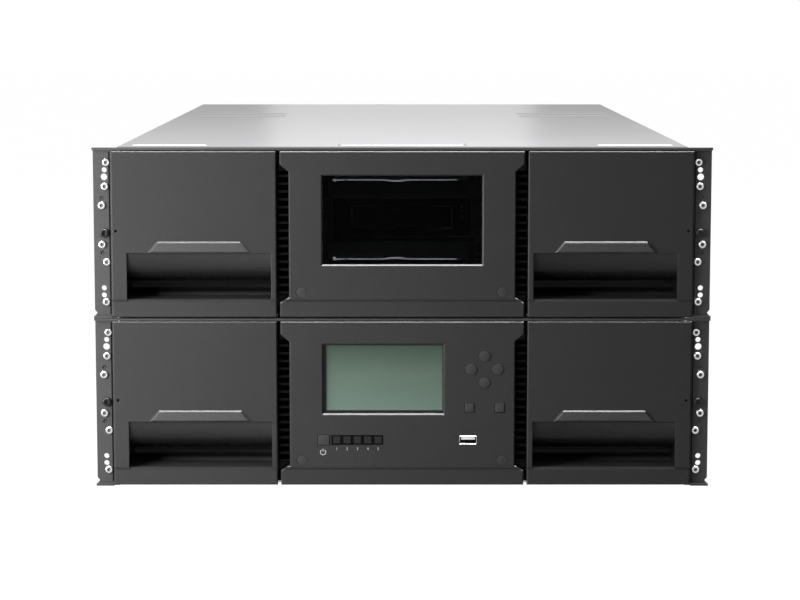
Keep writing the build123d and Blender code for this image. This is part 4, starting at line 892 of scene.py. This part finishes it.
cartridge_points, cartridge_faces = carried(cartridge_profile, cartridge_outline)
label = inward(raised_pad(30.0, 8.0, 0, 0.15, 0.05, 0.6))
slide = inward(raised_pad(3.4, 2.2, 0, 0.3, 0.1, 0.4))
inner_end = cartridge_middle - half_x
for module, base in module_bases.items():
    for side, sign in sides.items():
        magazine = f"{module}_{side}"
        body = f"{magazine}_magazine_body"
        slots = [(first_column + column * column_pitch, base + tray_floor + row * row_pitch)
                 for column in range(column_count) for row in range(row_count)
                 if (column, row) != empty_slot]
        towards_aisle = (cartridge_points * (-sign, 1, 1), cartridge_faces)
        shells = copies(towards_aisle, facing_up, [(sign * cartridge_middle, *slot) for slot in slots])
        labels = copies(label, facing_side, [(sign, inner_end, depth, height + seam)
                                             for depth, height in slots])
        slides = copies(slide, facing_side, [(sign, inner_end, depth + slide_offset, height + seam)
                                             for depth, height in slots])
        new_piece(f"{magazine}_tape_cartridges", shells, cartridge_shell, body, f"{magazine}_cartridges")
        new_piece(f"{magazine}_cartridge_labels", labels, blank_label, body)
        new_piece(f"{magazine}_protect_slides", slides, protect_red, body)

# Robot: a cast aluminium lift frame on acetal racks and pinions, toothed belts along its
# sides, a black gearmotor round the front shaft, and the picker with its gripper.
casting = metal("aluminium_casting", (0.6, 0.6, 0.61), 0.4, coated_finish, grain=700, relief=0.2)
belt_rubber = finished("belt_rubber", (0.018, 0.018, 0.018), 0.7, grain=1300, relief=0.3,
                       group=coated_finish)
picker_moulding = finished("picker_moulding", (0.011, 0.011, 0.012), 0.42, 0.25, grain=2500,
                           relief=0.08)
dress(["lift_racks", "front_lift_shaft", "rear_lift_pinions", "gripper"], acetal)
dress(["lift_frame", "picker_carriage"], casting, 0.2)
dress(["lift_belts"], belt_rubber)
dress(["picker"], picker_moulding, 0.3)

# Motor fittings: a drawn steel end bell at each end of the gearmotor, in line with the
# shaft that runs through it.
motor_ends = ((-1, 66.0), (1, -24.0))
axle_drop = 9.5
motor_low, motor_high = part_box("lift_motor")
axle_depth = ((motor_low[1] + motor_high[1]) / 2 - front_y) / millimetre
axle_height = motor_high[2] / millimetre - axle_drop
bell = turned(((3.5, 0), (9.0, 0), (9.3, 0.4), (9.3, 1.6), (8.8, 2.2), (4.4, 2.2), (3.5, 1.8), (3.5, 0)), 36)
bells = copies(bell, facing_side, [(way, x, axle_depth, axle_height) for way, x in motor_ends])
new_piece("motor_end_bells", bells, bright_steel, "lift", crease=35)

# Belt teeth: moulded rubber teeth inside both straight runs of each belt, between the
# pulleys that they mesh with.
belt_x = 89.0
belt_half = 2.3
belt_inside = 11.65
shaft_height = 17.6
run_start = 50.0
tooth_pitch = 3.6
tooth_rise = 0.8
tooth_root = -0.4
tooth_count = 144


def toothed_run(x, facing):
    """Strip along Y in a belt's inner face; it rises by a clipped cosine of its length over the pitch."""
    turn = np.linspace(0, tooth_count, tooth_count * 8 + 1)[:, None]
    rise = np.clip(0.5 - 1.4 * np.cos(2 * np.pi * turn), 0, 1) * tooth_rise
    across = x + belt_half * np.array((-1, 1, 1, -1)) + 0 * turn
    teeth = np.where((True, True, False, False), tooth_root, rise)
    up = shaft_height + facing * (belt_inside - teeth)
    along = run_start + tooth_pitch * turn + 0 * across
    return in_metres(across, along, up), grid_faces(len(turn), 4, wrap_columns=True)


runs = [toothed_run(side * belt_x, facing) for side in sides.values() for facing in (1, -1)]
new_piece("belt_teeth", joined(runs), belt_rubber, "lift", crease=20)

# Lift screws: low steel button heads in the four corner blocks of the lift frame, which
# clamp the blocks round their bearings.
block_x = 77.7
block_depths = (54.4, 566.0)
lift_top = 33.1
button_places = [(side * block_x, depth, lift_top) for side in sides.values() for depth in block_depths]
button = lobed_head(2.6, 0.6, 1.1, 0.1)
new_piece("lift_screws", copies(button, facing_up, button_places), bright_steel, "lift", crease=35)

# Gripper pads: rubber pads cemented to the inner faces of the two fingers, near their
# tips, where they close on a cartridge's notches.
grip_pad = inward(raised_pad(7, 3, 0, 0.5, 0.2, 0.8, ((0, 0.3),)))
grip_place = (51.4, 163.0, 15.1)
grip_pads = copies(grip_pad, facing_side, [(side, *grip_place) for side in sides.values()])
new_piece("gripper_pads", grip_pads, belt_rubber, "gripper_slide")

# Drive fronts: a black bezel round each drive's mouth, a hinged door just inside it, an
# eject button and three small lights.
drive_middle = 25.7
drive_front = 616.0
mouth_half = np.array((52.2, 11.7))
button_x = 62
button_drop = 9
amber_lens = finished("amber_lens", (0.5, 0.2, 0.02), 0.25, grain=2500, relief=0.02)
green_lens = finished("green_lens", (0.04, 0.3, 0.06), 0.25, grain=2500, relief=0.02)
mouth_bezel = open_frame((72.0, 19.8, 1.2), (*mouth_half, 0.8), 0, 1.4, 0.4)
door = raised_pad(*(mouth_half - 0.8), -3.4, -1.6, 0.5, 0.6)
door_rib = raised_pad(30, 0.7, -1.8, -1.0, 0.2, 0.4)
eject = raised_pad(4.5, 2.6, 0.6, 2.2, 0.4, 1.2)
eye = turned(((0, 0.6), (1.1, 0.6), (1.1, 1.6), (0.8, 1.9), (0, 2.0)), 20)
for node, bay in drive_bays.items():
    body = f"{node}_sled"
    middle = bay + drive_middle
    mouth = joined([placed(shape, facing_front, 0, middle + rise, drive_front)
                    for shape, rise in ((mouth_bezel, 0), (door, 0), (door_rib, 0), (door_rib, 4))])
    new_piece(f"{node}_mouth_bezel", mouth, black_moulding, body)
    eject_button = placed(eject, facing_front, button_x, middle - button_drop, drive_front)
    new_piece(f"{node}_eject_button", eject_button, key_moulding, body)
    eyes = copies(eye, facing_front, [(button_x, middle + rise, drive_front) for rise in (1, 6, 11)])
    new_piece(f"{node}_front_lights", eyes, green_lens, body)

# Drive rears: a steel connector shell with its tongue and contacts in each drive's port,
# two lights beside it, and a knurled thumb screw at each end of the plate.
plate_face = 861.5
rear_port_x = 20.0
shell_half = np.array((10.7, 4.2))
shell_depth = 7.8
thumb_x = 75.6
thumb_radius = 3.3
thumb_height = 7.0
knurl_count = 24
light_xs = {"ready": (46, green_lens), "fault": (54, amber_lens)}
shell = open_frame((*shell_half, 1.0), (*(shell_half - 0.5), 0.7), -shell_depth, 0.6, 0.15)
shell_tongue = raised_pad(8.4, 0.9, -shell_depth, -1.0, 0.25)
shell_contact = raised_pad(0.3, 0.1, -7.6, -1.8, 0.05)
knurled_rings = ((0, 0, 0), (0.6, 0, 0), (0.6, 0.25, 0), (0.92, 0.25, 0), (1, 0.33, 0.04), (1, 0.92, 0.04),
                 (0.9, 1, 0), (0.3, 1, 0), (0.26, 0.86, 0), (0, 0.86, 0))
thumb_rings = [(thumb_radius * share, thumb_height * rise, ripple) for share, rise, ripple in knurled_rings]
thumb_screw = turned(thumb_rings, knurl_count * 4, knurl_count)
rear_eye = turned(((0, 0), (1.5, 0), (1.5, 0.4), (1.1, 0.9), (0, 1.1)), 20)
for node, bay in drive_bays.items():
    body = f"{node}_sled"
    middle = bay + drive_middle
    port_place = (rear_port_x, middle, plate_face)
    new_piece(f"{node}_port_shell", placed(shell, facing_rear, *port_place), bright_steel, body, crease=40)
    new_piece(f"{node}_port_tongue", placed(shell_tongue, facing_rear, *port_place), black_moulding, body)
    pins = [(rear_port_x + (number - 5.5) * 1.3, middle + side * 0.95, plate_face)
            for number in range(12) for side in sides.values()]
    new_piece(f"{node}_port_contacts", copies(shell_contact, facing_rear, pins), brass_contact, body)
    thumb_places = [(side * thumb_x, middle, plate_face) for side in sides.values()]
    thumbs = copies(thumb_screw, facing_rear, thumb_places)
    new_piece(f"{node}_thumb_screws", thumbs, bright_steel, body, crease=35)
    for light, (x, lens) in light_xs.items():
        new_piece(f"{node}_{light}_light", placed(rear_eye, facing_rear, x, middle, plate_face), lens, body)

# Power supplies: a wire guard over each fan, a black mains inlet with three flat pins, a
# light, and a screw in each corner of the plate.
supply_x, supply_z = 158.0, 41.0
fan_x, fan_z = 140.0, 41.0
inlet_x, inlet_z = 187.0, 28.6
supply_corner_x, supply_corner_z = 49.0, 30.3
supply_light_x, supply_light_z = 176, 67
guard_radii = (13.0, 17.2, 21.4, 25.6)
wire_radius = 0.6


def wire_ring(radius, sides=64, around=8):
    """Ring of round wire: a small circle carried about the fan's axis at a radius."""
    angle = np.linspace(0, 2 * np.pi, sides, endpoint=False)[:, None]
    turn = np.linspace(0, 2 * np.pi, around, endpoint=False)[None, :]
    return about_axis(radius + wire_radius * np.cos(turn), angle, wire_radius * np.sin(turn), True)


inlet_shapes = (open_frame((15.0, 11.0, 2.0), (12.4, 8.4, 1.6), 0, 1.0, 0.3),
                open_frame((13.3, 9.3, 1.6), (12.4, 8.4, 1.6), -14.6, 0.4, 0.1),
                raised_pad(13.2, 9.2, -14.9, -13.8, 0.2, 1.0))
inlet_pin = raised_pad(1.0, 2.0, -14.0, -2.2, 0.4, 0.2)
pin_places = ((-7.0, -1.5), (0.0, 2.0), (7.0, -1.5))
small_head = lobed_head(2.2, 1.3, 1.0, 0.4)
for module, base in module_bases.items():
    body = f"{module}_supply"
    rings = joined([placed(wire_ring(radius), facing_rear, fan_x, base + fan_z, plate_face + 0.3)
                    for radius in guard_radii])
    new_piece(f"{module}_fan_guard_wires", rings, bright_steel, body, crease=60)
    inlet = joined([placed(shape, facing_rear, inlet_x, base + inlet_z, plate_face)
                    for shape in inlet_shapes])
    new_piece(f"{module}_inlet_shroud", inlet, black_moulding, body)
    pins = copies(inlet_pin, facing_rear, [(inlet_x + x, base + inlet_z + z, plate_face)
                                           for x, z in pin_places])
    new_piece(f"{module}_inlet_pins", pins, bright_steel, body)
    corners = [(supply_x + side * supply_corner_x, base + supply_z + rise * supply_corner_z, plate_face)
               for side in sides.values() for rise in (1, -1)]
    supply_screws = copies(small_head, facing_rear, corners)
    new_piece(f"{module}_supply_screws", supply_screws, bright_steel, body, crease=35)
    supply_light = placed(rear_eye, facing_rear, supply_light_x, base + supply_light_z, plate_face)
    new_piece(f"{module}_supply_light", supply_light, green_lens, body)

# Fan rotors: a hub with seven twisted blades. A blade's section is a thin closed curve
# wrapped about the axis; it turns flatter from the hub to the tip.
rotor_middle = 851.0
blade_count = 7
blade_root, blade_tip = 8.2, 23.7
blade_reach = 5.9
hub_profile = ((2.62, -5.8), (8.2, -5.8), (8.5, -5.5), (8.5, 4.6), (7.6, 5.8), (4.2, 5.8), (3.8, 5.4),
               (2.62, 5.4), (2.62, -5.8))


def twisted_blade(number):
    """Blade: at each radius a closed section along the chord, at a pitch that falls from 52 to 30
    degrees and wrapped round the axis by the angle of its length across over the radius."""
    share = np.linspace(0, 1, 9)[:, None]
    radius = blade_root + (blade_tip - blade_root) * share
    turn = np.linspace(0, 2 * np.pi, 20, endpoint=False)[None, :]
    along = np.cos(turn)
    lift = 0.10 * (1 - along ** 2) + 0.09 * np.sin(turn) * (1 + 0.4 * along)
    chord = 6.4 + 1.6 * share
    pitch = np.radians(52 - 22 * share)
    tangent = chord * (along * np.cos(pitch) - lift * np.sin(pitch))
    axial = np.clip(chord * (along * np.sin(pitch) + lift * np.cos(pitch)), -blade_reach, blade_reach)
    angle = 2 * np.pi * number / blade_count + tangent / radius
    points = about_axis(radius, angle, axial)[0]
    middle = points.mean(axis=1, keepdims=True)
    points = np.concatenate((np.repeat(middle[:1], 20, axis=1), points, np.repeat(middle[-1:], 20, axis=1)))
    return points, grid_faces(len(points), 20, wrap_columns=True)


rotor_shapes = [turned(hub_profile, 36)] + [twisted_blade(number) for number in range(blade_count)]
for module, base in module_bases.items():
    rotor = joined([placed(shape, facing_rear, fan_x, base + fan_z, rotor_middle) for shape in rotor_shapes])
    new_piece(f"{module}_fan_blades", rotor, black_moulding, f"{module}_fan", f"{module}_fan_rotor", 40)

# Controller card: a green board on a zinc plate with two steel network ports, its metal
# told from its board by how far back and how high it lies, and the parts on the board.
card_plate_depth = 859.5
board_top = 17.6
board_green = (0.02, 0.13, 0.04)
card_finish, card_given, card_made = new_group(
    "card_finish", (("Board", "Color", (*board_green, 1)), ("Metal", "Color", (0.43, 0.43, 0.44, 1))),
    (("Colour", "Color"), ("Metal Mask", "Float")))
card_point = add_node(card_finish, "TexCoord").outputs["Object"]
card_place = add_node(card_finish, "SeparateXYZ", {0: card_point}).outputs
behind = maths(card_finish, "GREATER_THAN", card_place["Y"], front_y + card_plate_depth * millimetre)
above = maths(card_finish, "GREATER_THAN", card_place["Z"], (board_top + 0.05) * millimetre)
metal_mask = maths(card_finish, "MAXIMUM", behind, above)
card_mix = add_node(card_finish, "Mix", {0: metal_mask, 6: card_given["Board"], 7: card_given["Metal"]},
                    data_type="RGBA")
card_finish.links.new(card_mix.outputs[2], card_made["Colour"])
card_finish.links.new(metal_mask, card_made["Metal Mask"])
card_material = finished("card_board_and_plate", board_green, 0.36, grain=900, relief=0.04)
card_tree = card_material.node_tree
card_colours = add_node(card_tree, "Group", node_tree=card_finish).outputs
feed(card_tree, card_colours, card_tree.nodes["Principled BSDF"].inputs,
     {"Colour": "Base Color", "Metal Mask": "Metallic"})
dress(["controller_card"], card_material)
card_packages = ((-182, 770, 13, 13, 2.4), (-140, 790, 9, 9, 1.8), (-196, 730, 5, 4, 1.3),
                 (-150, 740, 10, 6, 1.4), (-122, 735, 6, 9, 1.4), (-125, 800, 4, 3, 1.1),
                 (-170, 815, 7, 3, 1.6), (-192, 805, 5, 5, 1.3))
new_piece("card_packages", pads(card_packages, facing_up, board_top, 0.2, 0.3), package_black, "card")
sink_x, sink_depth = -182, 770
fin = raised_pad(0.5, 12, 3.4, 14, 0.2)
sink_base = raised_pad(12.5, 12.5, 2.3, 3.8, 0.2)
fins = copies(fin, facing_up, [(sink_x + (number - 4) * 2.8, sink_depth, board_top) for number in range(9)])
sink = joined([placed(sink_base, facing_up, sink_x, sink_depth, board_top), fins])
new_piece("card_heat_sink", sink, casting, "card")
edge_socket = raised_pad(36, 3.2, 0, 9, 0.5, 0.5)
edge_socket_place = (-158, 706, board_top)
new_piece("card_socket", placed(edge_socket, facing_up, *edge_socket_place), pale_insulator, "card")
card_can_columns = (-145, -136, -127, -118)
card_can_depth = 835
card_cans = copies(can, facing_up, [(x, card_can_depth, board_top) for x in card_can_columns])
new_piece("card_capacitors", card_cans, bright_steel, "card")
network_ports = (-188.0, -166.0)
spring_depth = 852
spring_pitch = 1.1
spring_places = [(x + (number - 3.5) * spring_pitch, spring_depth, board_top + 1.5)
                 for x in network_ports for number in range(8)]
springs = copies(raised_pad(0.25, 5.0, 0, 0.5, 0.1), facing_up, spring_places)
new_piece("card_port_contacts", springs, brass_contact, "card")
card_eye = (rear_eye[0] * 0.8, rear_eye[1])
eye_offset = 5.5
eye_height = 35.5
card_eyes = [(x + side * eye_offset, eye_height, plate_face)
             for x in network_ports for side in sides.values()]
new_piece("card_port_lights", copies(card_eye, facing_rear, card_eyes), green_lens, "card")
card_corners = [(x, z, plate_face) for x in (-207, -109) for z in (11, 39)]
new_piece("card_screws", copies(small_head, facing_rear, card_corners), bright_steel, "card", crease=35)

# Rear screws: plated screws with lobed heads that hold the rear panels and the four blank
# covers to the chassis.
panel_depth = 860.0
panel_columns = (-217.0, -92.5, 92.5, 217.0)
panel_rows = (10.0, 66.0, 118.0)
blank_places = ((-76, 109.7), (76, 109.7), (-76, 201.05), (76, 201.05), (-76, 243.05), (76, 243.05),
                (-207, 158.35), (-109, 158.35))
rear_places = [(x, base + z, panel_depth)
               for base in module_bases.values() for x in panel_columns for z in panel_rows]
rear_places += [(x, z, plate_face) for x, z in blank_places]
new_piece("rear_screws", copies(small_head, facing_rear, rear_places), bright_steel, crease=35)

# Bay seals: steel strips that close the joints between the plates of the drive bays from
# inside, so that no light comes through.
seal_half_width = 75.2
seal_spans = ((46.05, 47.35), (88.1, 89.6), (179.45, 181.0), (221.2, 222.9))
seals = []
for low, high in seal_spans:
    seal = raised_pad(seal_half_width, (high - low) / 2, -3.2, -0.2, 0.2)
    seals.append(placed(seal, facing_rear, 0, (low + high) / 2, panel_depth))
new_piece("bay_seals", joined(seals), black_steel)

# Side rivets: low domed steel rivets along the foot and the head of each side wall, which
# join it to the floor and the cover.
rivet_depths = range(90, 850, 94)
rivet_rows = (6.5, 119.0)
rivet = turned(((0, 0), (2.4, 0), (2.3, 0.3), (1.6, 0.65), (0.8, 0.8), (0, 0.85)))
rivet_places = [(side, wall_outer, depth, base + row) for side, base in ears for depth in rivet_depths
                for row in rivet_rows]
new_piece("side_rivets", copies(rivet, facing_side, rivet_places), bright_steel, crease=35)
